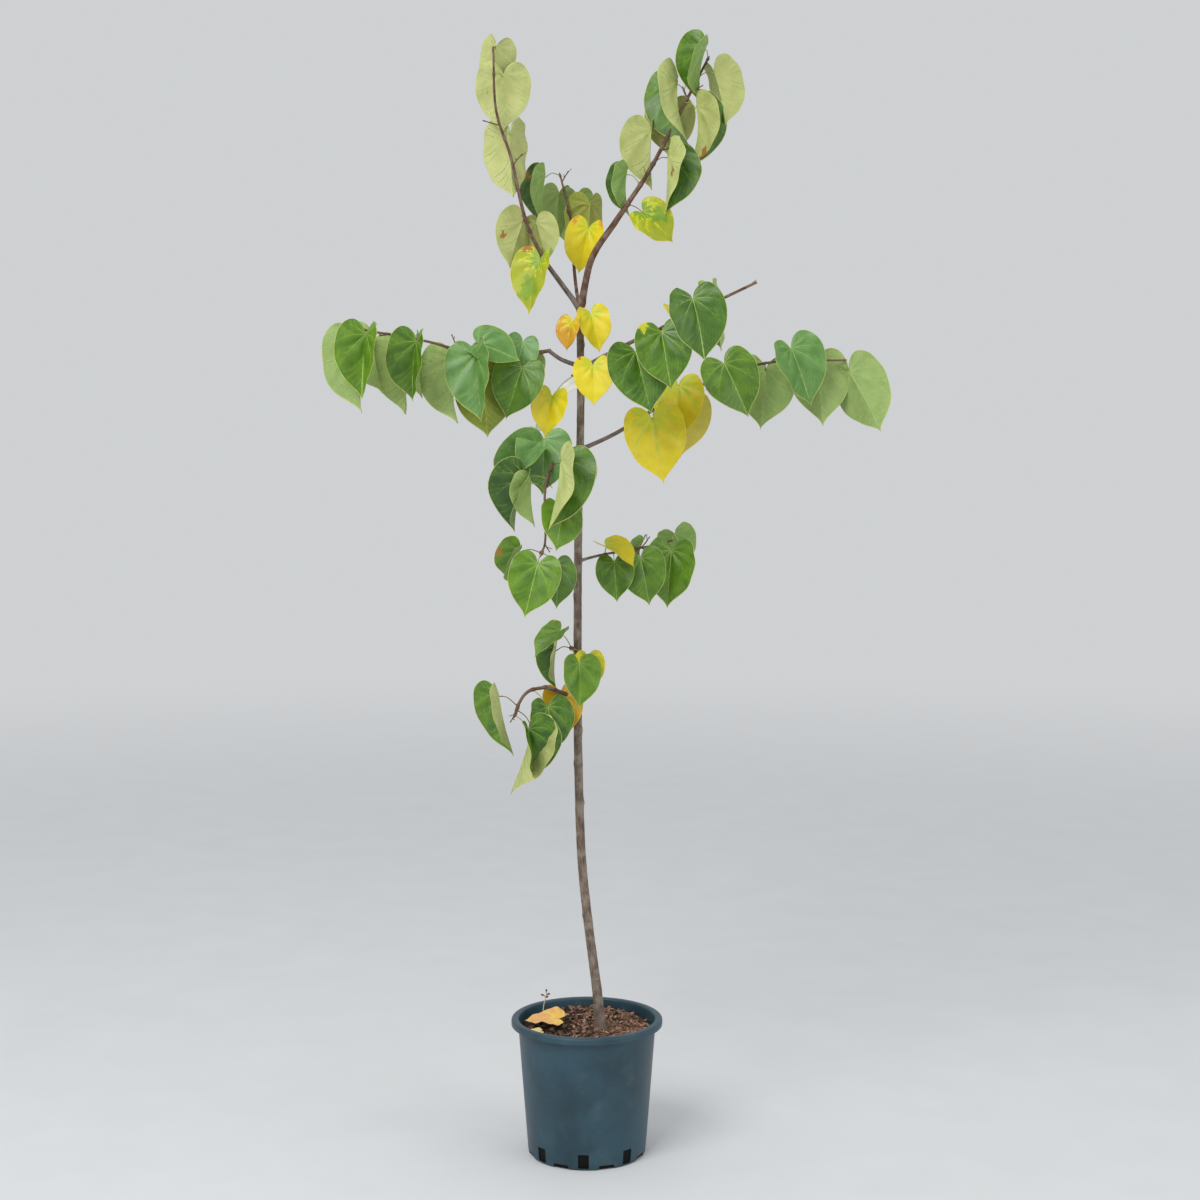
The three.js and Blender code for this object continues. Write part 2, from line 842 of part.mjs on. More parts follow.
function notchCutter(turn) {
  const outline = new THREE.Shape([
    new THREE.Vector2(-NOTCH.width / 2, -NOTCH.overrun),
    new THREE.Vector2(NOTCH.width / 2, -NOTCH.overrun),
    new THREE.Vector2(NOTCH.topWidth / 2, NOTCH.height),
    new THREE.Vector2(-NOTCH.topWidth / 2, NOTCH.height),
  ]);
  const notch = new THREE.ExtrudeGeometry(outline, { depth: 2 * NOTCH.depth, bevelEnabled: false });
  notch.rotateX(Math.PI / 2).translate(0, NOTCH.depth - POT.baseRadius, 0);
  return toSolid(notch.rotateZ(turn));
}

function potMesh() {
  let solid = potShell();
  for (let i = 0; i < SLOT.count; i++) {
    const turn = rad(SLOT.turn + (360 / SLOT.count) * i);
    solid = solid.subtract(slotCutter(turn)).subtract(notchCutter(turn + Math.PI / SLOT.count));
  }
  return toMesh("pot", solid, TEAL_PLASTIC);
}

// The compost's lumpy top, domed a little and heaped towards the back of the pot.
function compostHeight(x, y) {
  const share = Math.min(Math.hypot(x, y) / wallRadius(COMPOST.edge), 1);
  const back = (1 + y / wallRadius(COMPOST.edge)) / 2;
  const lumps = Math.sin(x / COMPOST.lumpPitch + 1) * Math.cos(y / COMPOST.lumpPitch);
  const dome = (COMPOST.dome + COMPOST.lump * lumps) * (1 - share * share);
  return COMPOST.edge + COMPOST.heap * back * back + dome;
}

function compostMesh() {
  const radius = (z) => wallRadius(z) - POT.wall - GAP;
  const floor = POT.floor + GAP;
  const profile = [
    [0, floor],
    [radius(floor), floor],
  ];
  for (let i = 0; i < COMPOST.rings; i++) {
    const share = 1 - i / COMPOST.rings;
    profile.push([radius(COMPOST.edge) * share, COMPOST.edge]);
  }
  profile.push([0, COMPOST.edge]);
  const geometry = turned(profile);
  const position = geometry.attributes.position;
  for (let i = 0; i < position.count; i++)
    if (position.getZ(i) > COMPOST.edge / 2)
      position.setZ(i, compostHeight(position.getX(i), position.getY(i)));
  const solid = toSolid(geometry).subtract(trunkSolid(GAP));
  return toMesh("compost", solid, BARK_COMPOST);
}

// The blank label's strip: one turn round the trunk, then its tail hangs to the left.
function labelMesh() {
  const share = (LABEL.height - TRUNK.route[0][2]) / (TRUNK.route.at(-1)[2] - TRUNK.route[0][2]);
  const trunk = trunkRoute.getPoint(share);
  const radius = trunkRadius(share, trunk) + LABEL.slack;
  const loop = evenShares(LABEL.turnPoints).map((part) => {
    const turn = rad(lerp(...LABEL.turn, part));
    return [trunk.x + Math.cos(turn) * radius, trunk.y + Math.sin(turn) * radius, LABEL.height];
  });
  const [a, u] = [LABEL.thickness / 2, LABEL.width / 2];
  const section = [
    [-a, -u],
    [a, -u],
    [a, u],
    [-a, u],
  ];
  const route = routeOf([...loop, ...LABEL.tail]);
  return toMesh("blank_label", sweptSolid(route, () => section, evenShares(LABEL.steps)), WHITE_STRIP);
}

const sapling = new THREE.Group();
sapling.add(potMesh(), compostMesh());
sapling.add(toMesh("trunk", trunkSolid(0), GREY_BARK));
sapling.add(...limbMeshes());
sapling.add(labelMesh());
sapling.add(...Object.keys(MASSES).map(massMesh));

export default sapling;
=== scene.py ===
import math

import bmesh
import bpy
import numpy as np
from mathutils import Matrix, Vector, noise


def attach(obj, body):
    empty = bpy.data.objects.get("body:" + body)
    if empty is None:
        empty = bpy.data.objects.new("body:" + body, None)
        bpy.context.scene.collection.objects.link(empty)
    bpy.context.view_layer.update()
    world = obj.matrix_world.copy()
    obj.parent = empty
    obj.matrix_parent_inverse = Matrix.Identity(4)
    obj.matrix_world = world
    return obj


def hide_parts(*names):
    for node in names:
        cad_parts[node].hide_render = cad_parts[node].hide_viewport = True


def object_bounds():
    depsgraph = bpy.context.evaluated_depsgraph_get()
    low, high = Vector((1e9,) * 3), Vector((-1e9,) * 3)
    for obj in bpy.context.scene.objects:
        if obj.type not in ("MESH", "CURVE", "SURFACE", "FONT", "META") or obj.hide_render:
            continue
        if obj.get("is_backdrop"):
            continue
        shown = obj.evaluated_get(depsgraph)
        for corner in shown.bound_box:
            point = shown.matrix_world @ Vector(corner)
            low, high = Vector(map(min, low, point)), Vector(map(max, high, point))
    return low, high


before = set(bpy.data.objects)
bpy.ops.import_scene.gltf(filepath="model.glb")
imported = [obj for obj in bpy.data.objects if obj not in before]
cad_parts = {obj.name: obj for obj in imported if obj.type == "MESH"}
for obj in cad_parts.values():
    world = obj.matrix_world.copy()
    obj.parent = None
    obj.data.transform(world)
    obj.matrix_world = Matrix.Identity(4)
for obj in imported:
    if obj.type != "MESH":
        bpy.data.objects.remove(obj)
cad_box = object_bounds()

MM = 0.001
BODY = "root"

# Sizes repeated from the source
POT = {
    "height": 258, "base_radius": 111, "neck_radius": 129.5, "wall": 2.2, "floor": 3,
    "lip_radius": 142.5, "lip_height": 12.5,
}
SLOT = {"count": 8, "width": 20, "bottom": 4, "top": 31, "depth": 12, "turn": -3}
NOTCH = {"width": 36, "top_width": 28, "height": 9, "depth": 9}
COMPOST = {"edge": 228, "dome": 3, "heap": 16, "lump": 1.6, "lump_pitch": 9, "gap": 0.3}
TRUNK = {
    "route": [
        (26, 4, 229), (19, 4, 308), (3, 2, 434), (-10, 0, 568), (-16, 0, 760),
        (-17, 0, 983), (-15, 0, 1215), (-11, 0, 1400), (-12, 0, 1600),
    ],
    "radius": (9.2, 6.6),
    "flare": 6.5,
    "flare_height": 26,
}
LABEL = {
    "height": 1447, "width": 16, "slack": 2.4, "turn": (200, -90), "turn_points": 7,
    "tail": [(-34, -13, 1441), (-62, -13, 1413), (-90, -10, 1361)],
}
FORM = {
    "stalk": (0.9, 1.1), "fold": (8, 26), "cup": (-0.315, 0.585), "bend": (0.1, 0.6),
    "ripple": (0, 0.08), "ripples": (5, 8), "phase": (0, 360),
}
FLATTEST_CUP = 0.001
STALK = {"arch_at": 0.55, "arch": 0.08, "root": 5}
TWIG = {
    "spring": 137.5, "sway": (-20, 20), "spread": (38, 62), "length": (18, 34),
    "radius": (1.3, 0.9), "span": (0.15, 0.9),
}
CLEARANCE = 2

LIMB_ROWS = (
    # name, radius at its start and end, route
    ("right_leader", (6.4, 5), [(-10, 0, 1592), (10, 12, 1678), (52, 28, 1744), (73, 34, 1775)]),
    ("left_leader", (5, 4), [(-13, 0, 1586), (-53, -8, 1639), (-76, -14, 1670)]),
    ("middle_twig", (3.4, 2.8), [(-13, 4, 1588), (-19, 46, 1622), (-24, 72, 1672), (-24, 82, 1726)]),
    ("left_bough", (4, 3.6), [(-12, 0, 1480), (-45, -14, 1491), (-69, -24, 1507)]),
    ("right_upper_bough", (4, 3.6), [(-12, 0, 1474), (39, -26, 1501), (83, -50, 1522)]),
    ("right_long_bough", (4, 3.4), [(-12, 0, 1326), (56, 34, 1358), (118, 60, 1397)]),
    ("middle_left_bough", (3.2, 2.8), [(-13, 0, 1322), (-37, -40, 1328), (-55, -78, 1315)]),
    ("small_right_bough", (2.8, 2.3), [(-16, 0, 1120), (10, 30, 1126), (34, 60, 1130)]),
    ("low_left_bough", (4, 3.4), [(-17, 0, 861), (-49, -24, 879), (-77, -44, 890)]),
)
LIMBS = {name: {"radius": radius, "route": route} for name, radius, route in LIMB_ROWS}

# The sprays, as in the source. A row is one leaf: where on the stem, the way its stalk points (turn
# and rise), the way its upper face looks, its lean, how far it hangs, its length, its fold where
# that isn't drawn, and its tint.
SPRAYS = {
    "left_leader_leaves": {
        "slot": "pale_leaf",
        "seed": 11, "reach": 150, "twigs": 3, "stalk": 26, "radius": (3.8, 1.9),
        "stem": [
            (-76, -14, 1670), (-110, -26, 1741), (-136, -42, 1852), (-162, -55, 1935),
            (-166, -70, 2039),
        ],
        "leaves": [
            (0.03, -100, -20, -128, 10, 78, 100, "w"),
            (0.2, 60, 35, 60, 12, 78, 80, "q"),
            (0.26, 100, 0, 128, -20, 80, 96, "q"),
            (0.6, 60, 35, 105, 0, 84, 124, 50, "q"),
            (0.9, 50, 10, 92, -2, 80, 106, "q"),
            (1, 80, 25, 78, -14, 80, 86, 38, "q"),
        ],
    },
    "right_leader_leaves": {
        "slot": "green_leaf",
        "seed": 12, "reach": 150, "twigs": 4, "stalk": 34, "radius": (4.8, 2.2),
        "stem": [(73, 34, 1775), (119, 50, 1847), (181, 72, 1966), (226, 88, 2053)],
        "leaves": [
            (0.02, -10, -30, -85, -48, 74, 78, "w"),
            (0.2, 178, 45, -168, 4, 80, 84, 44, "d"),
            (0.36, 0, 30, -35, 14, 80, 120, 54, "c"),
            (0.46, 178, 52, 135, -2, 82, 112, 45, "q"),
            (0.7, -172, 62, -165, -14, 80, 132, 44, "c"),
            (0.6, 120, 40, 90, 0, 80, 96, "q"),
            (0.68, -55, -20, -16, -6, 80, 116, 50, "q"),
            (0.86, -20, 20, 62, 16, 80, 112, 45, "q"),
            (1, -100, 30, -155, 24, 78, 106, 42, "g"),
        ],
    },
    "middle_leaves": {
        "slot": "pale_leaf",
        "seed": 13, "reach": 130, "twigs": 2, "stalk": 44, "radius": (2.7, 1.7),
        "stem": [(-24, 82, 1726), (-36, 92, 1784), (-50, 100, 1840)],
        "leaves": [
            (0.03, -45, 10, -100, 14, 84, 86, "y"),
            (0.42, 5, 18, 115, 0, 82, 96, 25, "l"),
            (0.5, 85, 10, 80, 0, 80, 84, "p"),
            (0.75, 60, -5, 90, 0, 80, 70, "p"),
            (0.62, 110, 20, 120, -4, 78, 78, "p"),
            (1, -125, -5, -160, 8, 82, 98, 44, "d"),
        ],
    },
    "left_bough_leaves": {
        "slot": "pale_leaf",
        "seed": 14, "reach": 150, "twigs": 4, "stalk": 30, "radius": (3.5, 1.8),
        "stem": [(-69, -24, 1507), (-171, -60, 1489), (-280, -96, 1519), (-396, -130, 1539)],
        "leaves": [
            (0.05, 165, -15, 75, -10, 80, 76, "p"),
            (0.12, -120, -45, -90, 18, 78, 100, "g"),
            (0.17, 0, 80, -85, 12, 80, 70, "s"),
            (0.4, -90, 55, -85, -72, 62, 80, "s"),
            (0.4, 80, -60, 92, 5, 84, 120, "v"),
            (0.48, 80, 10, 71, 0, 76, 92, "p"),
            (0.48, -45, -6, -125, -8, 82, 124, 38, "s"),
            (0.57, 75, -38, 135, -6, 86, 122, 44, "p"),
            (0.75, 80, -5, 135, 0, 88, 104, 50, "p"),
            (0.77, -58, -18, -117, 8, 82, 108, 39, "c"),
            (0.8, 100, -35, 135, 0, 88, 122, 46, "p"),
            (0.95, 95, -10, 135, 0, 88, 108, 50, "p"),
            (1, -70, -22, -112, 5, 82, 114, 36, "c"),
            (1, 125, -35, 135, -3, 90, 134, 46, "p"),
        ],
    },
    "right_upper_leaves": {
        "slot": "green_leaf",
        "seed": 16, "reach": 150, "twigs": 2, "stalk": 26, "radius": (3.5, 2.4),
        "stem": [(83, -50, 1522), (152, -90, 1552), (225, -126, 1586), (301, -150, 1621)],
        "leaves": [
            (0.04, -100, -65, -90, -14, 80, 118, "g"),
            (0.27, -100, -25, -95, -10, 78, 106, "g"),
            (0.36, 90, -40, 90, 0, 84, 62, "y"),
            (0.6, -150, 30, -80, -13, 80, 114, "d"),
            (0.66, 90, 50, 95, 10, 82, 106, 58, "p"),
            (0.4, 120, 50, -60, 10, 30, 56, "y"),
        ],
    },
    "right_long_leaves": {
        "slot": "pale_leaf",
        "seed": 15, "reach": 175, "twigs": 4, "stalk": 28, "radius": (3.3, 1.8),
        "stem": [(118, 60, 1397), (214, 92, 1448), (341, 126, 1491), (494, 160, 1498)],
        "leaves": [
            (0.03, -100, -35, -90, -10, 78, 124, "y"),
            (0.22, 80, -30, 80, -4, 80, 108, "y"),
            (0.24, -120, 25, -92, 2, 76, 104, "y"),
            (0.46, -90, 50, -78, -24, 76, 112, "g"),
            (0.66, 80, -20, 74, -4, 82, 118, "p"),
            (0.76, -60, 60, -68, -22, 80, 118, "s"),
            (0.88, 80, -10, 70, 6, 82, 122, "p"),
            (1, -10, -66, 76, 30, 80, 132, "p"),
        ],
    },
    "middle_left_leaves": {
        "slot": "green_leaf",
        "seed": 17, "reach": 150, "twigs": 2, "stalk": 36, "radius": (2.7, 1.7),
        "stem": [
            (-55, -78, 1315), (-66, -104, 1288), (-74, -118, 1252), (-73, -132, 1168),
            (-80, -140, 1142),
        ],
        "leaves": [
            (0.08, 160, 34, -120, 55, 80, 118, 46, "s"),
            (0.02, 178, 58, -88, 2, 78, 102, "s"),
            (0.36, 178, 4, -138, 28, 84, 118, 44, "d"),
            (0.5, -150, 35, -178, 0, 86, 84, 60, "p"),
            (0.05, 0, -5, -60, -2, 78, 72, "g"),
            (0.24, -50, 30, -32, 14, 82, 130, 56, "c"),
            (0.58, 20, -15, -60, 20, 60, 84, "g"),
            (0.99, 172, 8, -142, 36, 80, 78, 50, "g"),
            (1, -100, -28, -90, 14, 80, 98, "g"),
            (0.98, 0, -40, -50, 2, 80, 80, "g"),
        ],
    },
    "small_right_leaves": {
        "slot": "green_leaf",
        "seed": 19, "reach": 150, "twigs": 2, "stalk": 20, "radius": (2.2, 1.6),
        "stem": [(34, 60, 1130), (101, 110, 1139), (162, 150, 1151)],
        "leaves": [
            (0, 80, 45, -60, -20, 22, 76, "y"),
            (0.12, -75, -72, -90, -4, 80, 76, "g"),
            (0.45, 40, 40, 150, 0, 60, 50, "d"),
            (0.46, -60, -55, -88, -11, 82, 94, "g"),
            (0.95, -60, -55, -92, 4, 82, 112, "g"),
            (1, 60, 40, 100, 24, 60, 76, "g"),
        ],
    },
    "trunk_tuft_leaves": {
        "slot": "green_leaf",
        "seed": 20, "reach": 120, "twigs": 0, "stalk": 36, "radius": (2.6, 2),
        "stem": [(-17, 0, 952), (-24, -20, 958), (-30, -34, 962)],
        "leaves": [
            (0.75, 178, 55, -130, 20, 40, 70, "g"),
            (0.8, 140, -4, -150, 4, 80, 78, 38, "e"),
            (0.85, 15, -30, -75, 0, 84, 66, "y"),
            (1, -8, -60, -64, 2, 80, 84, "g"),
        ],
    },
    "low_left_leaves": {
        "slot": "green_leaf",
        "seed": 21, "reach": 170, "twigs": 1, "stalk": 44, "radius": (3.3, 2.6),
        "stem": [(-77, -44, 890), (-105, -66, 886), (-121, -80, 869), (-130, -92, 845)],
        "leaves": [
            (0.8, -178, 34, -158, 0, 100, 122, 28, "c"),
            (0.88, 22, -44, 8, 0, 104, 134, 34, "q"),
            (1, -42, -34, -45, -16, 86, 106, 42, "g"),
            (0.25, -5, -48, -60, -4, 82, 94, "g"),
            (0, 48, -20, -80, -6, 70, 84, "a"),
        ],
    },
    "upper_trunk_leaves": {
        "slot": "yellow_leaf",
        "seed": 22, "reach": 90, "twigs": 0, "stalk": 22, "radius": (2.2, 1.8),
        "stem": [(-12, 0, 1560), (-11, -12, 1561), (-10, -22, 1563)],
        "leaves": [
            (0.9, -135, -10, -115, 10, 72, 54, "o"),
            (1, -10, 30, -80, -13, 72, 72, "y"),
        ],
    },
    "lower_trunk_leaves": {
        "slot": "yellow_leaf",
        "seed": 23, "reach": 150, "twigs": 0, "stalk": 52, "radius": (2.2, 1.8),
        "stem": [(-12, 0, 1460), (-16, -12, 1461), (-24, -22, 1462)],
        "leaves": [
            (0.9, -41, 22, -92, -2, 72, 76, "y"),
            (1, -172, -44, -95, 9, 74, 78, "y"),
        ],
    },
}


# Numbers and directions
def lerp(a, b, share):
    return a + (b - a) * share


def unit(vector):
    return vector / np.linalg.norm(vector)


def direction(turn, rise):
    """The way that a turn from +X and a rise above level point, in degrees."""
    turn = math.radians(turn)
    rise = math.radians(rise)
    level = math.cos(rise)
    return np.array([math.cos(turn) * level, math.sin(turn) * level, math.sin(rise)])


def turned_about(vector, axis, angle):
    """A vector turned about a unit axis, in radians."""
    around = np.cross(axis, vector) * math.sin(angle)
    return vector * math.cos(angle) + around + axis * np.dot(axis, vector) * (1 - math.cos(angle))


def seeded(seed):
    """The source's own numbers from 0 to 1, in an order fixed by the seed."""
    state = (seed * 2654435761) & 0xFFFFFFFF

    def draw():
        nonlocal state
        state = (state * 1664525 + 1013904223) & 0xFFFFFFFF
        return state / 4294967296

    for _ in range(3):
        draw()
    return draw


def between(draw, ends):
    return lerp(*ends, draw())


# Routes
def along_route(route, shares):
    """Points of the smooth curve through a route, at shares of the way from 0 to 1."""
    route = np.asarray(route, float)
    pieces = len(route) - 1
    padded = np.vstack([2 * route[0] - route[1], route, 2 * route[-1] - route[-2]])
    place = np.clip(np.atleast_1d(shares), 0, 1) * pieces
    index = np.minimum(place.astype(int), pieces - 1)
    t = (place - index)[:, None]
    before, start, end, after = (padded[index + k] for k in range(4))
    leaving = (end - before) * 0.5
    arriving = (after - start) * 0.5
    cubic = (2 * start - 2 * end + leaving + arriving) * t**3
    square = (-3 * start + 3 * end - 2 * leaving - arriving) * t**2
    return cubic + square + leaving * t + start


def point_at(route, share):
    return along_route(route, share)[0]


def way_at(route, share):
    step = 0.01
    return unit(point_at(route, min(share + step, 1)) - point_at(route, max(share - step, 0)))


def lengths_along(line):
    """How far along a line each of its points lies."""
    return np.concatenate([[0], np.cumsum(np.linalg.norm(np.diff(line, axis=0), axis=1))])


FINE_STEPS = 600


def even_shares(route, spacing):
    """Shares along a route that lie evenly apart in length."""
    fine = np.linspace(0, 1, FINE_STEPS)
    walked = lengths_along(along_route(route, fine))
    count = max(int(walked[-1] / spacing), 3)
    return np.interp(np.linspace(0, walked[-1], count + 1), walked, fine)


# Grids and rings of points, as faces
FLIPPED = [0, 3, 2, 1]


def full_turn(count):
    """Evenly spaced turns, once round, in radians."""
    return np.arange(count) * 2 * math.pi / count


def band(first, second):
    """The faces between two closed rings of points."""
    return np.stack([first, np.roll(first, -1), np.roll(second, -1), second], -1)


def fan(centre, ring, flipped=False):
    """Triangles from a middle point to a closed ring."""
    ends = [ring, np.roll(ring, -1)]
    if flipped:
        ends.reverse()
    return np.stack([np.full(len(ring), centre), *ends], -1)


def grid_quads(rows, columns, closed_rows=False, closed_columns=False):
    """The faces of a grid of points kept row by row."""
    row, column = np.indices((rows - 1 + closed_rows, columns - 1 + closed_columns))
    low = row * columns
    high = (row + 1) % rows * columns
    ahead = (column + 1) % columns
    return np.stack([low + column, low + ahead, high + ahead, high + column], -1).reshape(-1, 4)


def grid_edge(rows, columns):
    """A grid's border, once round."""
    edge = [*range(columns)]
    edge += [row * columns + columns - 1 for row in range(1, rows)]
    edge += [(rows - 1) * columns + column for column in range(columns - 2, -1, -1)]
    edge += [row * columns for row in range(rows - 2, 0, -1)]
    return np.array(edge)


def slab_faces(rows, columns):
    """The faces of a slab between two grids, the second under the first."""
    step = rows * columns
    quads = grid_quads(rows, columns)
    edge = grid_edge(rows, columns)
    return [quads[:, FLIPPED], quads + step, band(edge, edge + step)]


# Building meshes
def put(name, data):
    """An object in the scene that shows a mesh, a lamp or a camera."""
    made = bpy.data.objects.new(name, data)
    bpy.context.collection.objects.link(made)
    return made


class Shape:
    """One piece in the making: points with values of their own, and faces with their finishes."""

    def __init__(self, finishes, values=(), vectors=()):
        self.finishes = list(finishes)
        self.points = []
        self.faces = []
        self.slots = []
        self.values = {name: [] for name in values}
        self.vectors = {name: [] for name in vectors}
        self.count = 0

    def slot(self, finish):
        return self.finishes.index(finish)

    def add(self, points, faces, slots, **values):
        """Adds points and lists of faces. Slots are one finish's place or one for each face."""
        for rows, places in zip(faces, slots):
            self.faces.append(np.asarray(rows, np.int32) + self.count)
            self.slots.append(np.broadcast_to(places, len(rows)).astype(np.int32))
        self.points.append(points)
        for name, kept in self.values.items():
            kept.append(np.broadcast_to(values.get(name, 0.0), len(points)).astype(float))
        for name, kept in self.vectors.items():
            kept.append(np.broadcast_to(values.get(name, (0.0, 0.0, 0.0)), (len(points), 3)))
        self.count += len(points)

    def piece(self, name):
        """The finished object, in metres, at the origin."""
        mesh = bpy.data.meshes.new(name)
        points = np.concatenate(self.points) * MM
        corners = np.concatenate([rows.ravel() for rows in self.faces])
        sizes = np.concatenate([np.full(len(rows), rows.shape[1]) for rows in self.faces])
        starts = np.concatenate([[0], np.cumsum(sizes)[:-1]])
        mesh.vertices.add(len(points))
        mesh.vertices.foreach_set("co", points.ravel())
        mesh.loops.add(len(corners))
        mesh.loops.foreach_set("vertex_index", corners.astype(np.int32))
        mesh.polygons.add(len(sizes))
        mesh.polygons.foreach_set("loop_start", starts.astype(np.int32))
        mesh.polygons.foreach_set("material_index", np.concatenate(self.slots))
        mesh.update(calc_edges=True)
        mesh.shade_smooth()
        for key, kept in self.values.items():
            layer = mesh.attributes.new(key, "FLOAT", "POINT")
            layer.data.foreach_set("value", np.concatenate(kept))
        for key, kept in self.vectors.items():
            layer = mesh.attributes.new(key, "FLOAT_VECTOR", "POINT")
            layer.data.foreach_set("vector", np.concatenate(kept).ravel())
        for finish in self.finishes:
            mesh.materials.append(bpy.data.materials[finish])
        return put(name, mesh)


def frames_along(line, last=None):
    """The ways across and up at each point of a line, turning as little as they can."""
    along = np.gradient(line, axis=0)
    along /= np.linalg.norm(along, axis=1)[:, None]
    across = np.empty_like(line)
    if last is None:
        last = np.eye(3)[np.argmin(np.abs(along[0]))]
    for i, way in enumerate(along):
        last = unit(last - way * np.dot(way, last))
        across[i] = last
    return across, np.cross(along, across)


def rings_along(line, sides):
    """The ways out from a line to the rings of points round it."""
    across, up = frames_along(line)
    turns = full_turn(sides)[:, None]
    return across[:, None] * np.cos(turns) + up[:, None] * np.sin(turns)


DOME = (30, 55, 75, 88)


def domed(line, radii):
    """Carries a line's end on into a dome, as far as its radius there."""
    radii = np.asarray(radii, float).reshape(len(line), -1)
    angles = np.radians(DOME)[:, None]
    way = unit(line[-1] - line[-2])
    line = np.vstack([line, line[-1] + way * radii[-1].mean() * np.sin(angles)])
    return line, np.vstack([radii, radii[-1] * np.cos(angles)])


def add_tube(shape, line, radii, sides, slot, end_slot=None):
    """A closed tube along a line, with its radius ring by ring or point by point."""
    count = len(line)
    radii = np.broadcast_to(np.asarray(radii, float).reshape(count, -1), (count, sides))
    turns = full_turn(sides)
    walked = lengths_along(line)
    points = line[:, None] + rings_along(line, sides) * radii[..., None]
    lengths = np.broadcast_to(walked[:, None], radii.shape)
    grain = np.stack([np.cos(turns) * radii, np.sin(turns) * radii, lengths], axis=-1)
    points = np.vstack([points.reshape(-1, 3), line[:1], line[-1:]])
    grain = np.vstack([grain.reshape(-1, 3), [[0, 0, 0]], [[0, 0, walked[-1]]]]) * MM
    ring = np.arange(sides)
    foot = fan(count * sides, ring, flipped=True)
    head = fan(count * sides + 1, ring + (count - 1) * sides)
    wall = grid_quads(count, sides, closed_columns=True)
    slots = [slot, slot, slot if end_slot is None else end_slot]
    shape.add(points, [wall, foot, head], slots, grain=grain)


# Finishes: shared effects as node groups
def colour(numbers):
    """A colour from its usual 0 to 255 numbers."""
    shares = [value / 255 for value in numbers]
    return (*[s / 12.92 if s <= 0.04045 else ((s + 0.055) / 1.055) ** 2.4 for s in shares], 1.0)


def add_node(tree, kind, values=None, **settings):
    made = tree.nodes.new(kind)
    for key, value in settings.items():
        setattr(made, key, value)
    for key, value in (values or {}).items():
        made.inputs[key].default_value = value
    return made


def wire(tree, *rows):
    """Joins nodes by rows: a node and its output, then a node and its input."""
    for source, output, target, entry in rows:
        tree.links.new(source.outputs[output], target.inputs[entry])


def new_tree(name, kind, inputs, outputs):
    """An empty node tree with its named sockets, and its two ends."""
    tree = bpy.data.node_groups.new(name, kind)
    for key, socket, *value in inputs:
        made = tree.interface.new_socket(key, in_out="INPUT", socket_type="NodeSocket" + socket)
        if value:
            made.default_value = value[0]
    for key, socket in outputs:
        tree.interface.new_socket(key, in_out="OUTPUT", socket_type="NodeSocket" + socket)
    return tree, add_node(tree, "NodeGroupInput"), add_node(tree, "NodeGroupOutput")


SHADER = "ShaderNodeTree"
LIMITS = [("Low", "Float", 0.35), ("High", "Float", 0.65)]


def spread_out(tree, start, cloud, end):
    """Carries a cloud, from the group's low to its high, to its mask."""
    spread = add_node(tree, "ShaderNodeMapRange", interpolation_type="SMOOTHSTEP")
    wire(
        tree, (cloud, "Fac", spread, "Value"), (start, "Low", spread, "From Min"),
        (start, "High", spread, "From Max"), (spread, "Result", end, "Mask"),
    )


def blotch_group():
    """Soft cloudy patches, as a mask."""
    sizes = [("Vector", "Vector"), ("Scale", "Float", 40.0), ("Detail", "Float", 3.0)]
    tree, start, end = new_tree("Soft blotches", SHADER, [*sizes, *LIMITS], [("Mask", "Float")])
    cloud = add_node(tree, "ShaderNodeTexNoise", {"Roughness": 0.55})
    for key in ("Vector", "Scale", "Detail"):
        wire(tree, (start, key, cloud, key))
    spread_out(tree, start, cloud, end)
    return tree


def cell_group(name, feature, scale, reach, size):
    """Small cells as a mask: the net of lines between them, or a spot in each."""
    inputs = [("Vector", "Vector"), ("Scale", "Float", scale), (reach, "Float", size)]
    tree, start, end = new_tree(name, SHADER, inputs, [("Mask", "Float")])
    cells = add_node(tree, "ShaderNodeTexVoronoi", feature=feature)
    falling = add_node(tree, "ShaderNodeMapRange", {"To Min": 1.0, "To Max": 0.0})
    wire(
        tree, (start, "Vector", cells, "Vector"), (start, "Scale", cells, "Scale"),
        (cells, "Distance", falling, "Value"), (start, reach, falling, "From Max"),
        (falling, "Result", end, "Mask"),
    )
    return tree


def streak_group():
    """Streaks drawn out along the piece's own length, as a mask and a height."""
    sizes = [("Vector", "Vector"), ("Across", "Float", 500.0), ("Along", "Float", 60.0)]
    outputs = [("Mask", "Float"), ("Height", "Float")]
    tree, start, end = new_tree("Long streaks", SHADER, [*sizes, *LIMITS], outputs)
    scales = add_node(tree, "ShaderNodeCombineXYZ")
    drawn = add_node(tree, "ShaderNodeVectorMath", operation="MULTIPLY")
    cloud = add_node(tree, "ShaderNodeTexNoise", {"Scale": 1.0, "Detail": 4.0, "Roughness": 0.6})
    wire(
        tree, (start, "Across", scales, "X"), (start, "Across", scales, "Y"),
        (start, "Along", scales, "Z"), (start, "Vector", drawn, 0), (scales, "Vector", drawn, 1),
        (drawn, "Vector", cloud, "Vector"), (cloud, "Fac", end, "Height"),
    )
    spread_out(tree, start, cloud, end)
    return tree


BLOTCHES = blotch_group()
NET = cell_group("Fine net", "DISTANCE_TO_EDGE", 220.0, "Width", 0.1)
SPECKS = cell_group("Small specks", "F1", 300.0, "Size", 0.2)
STREAKS = streak_group()


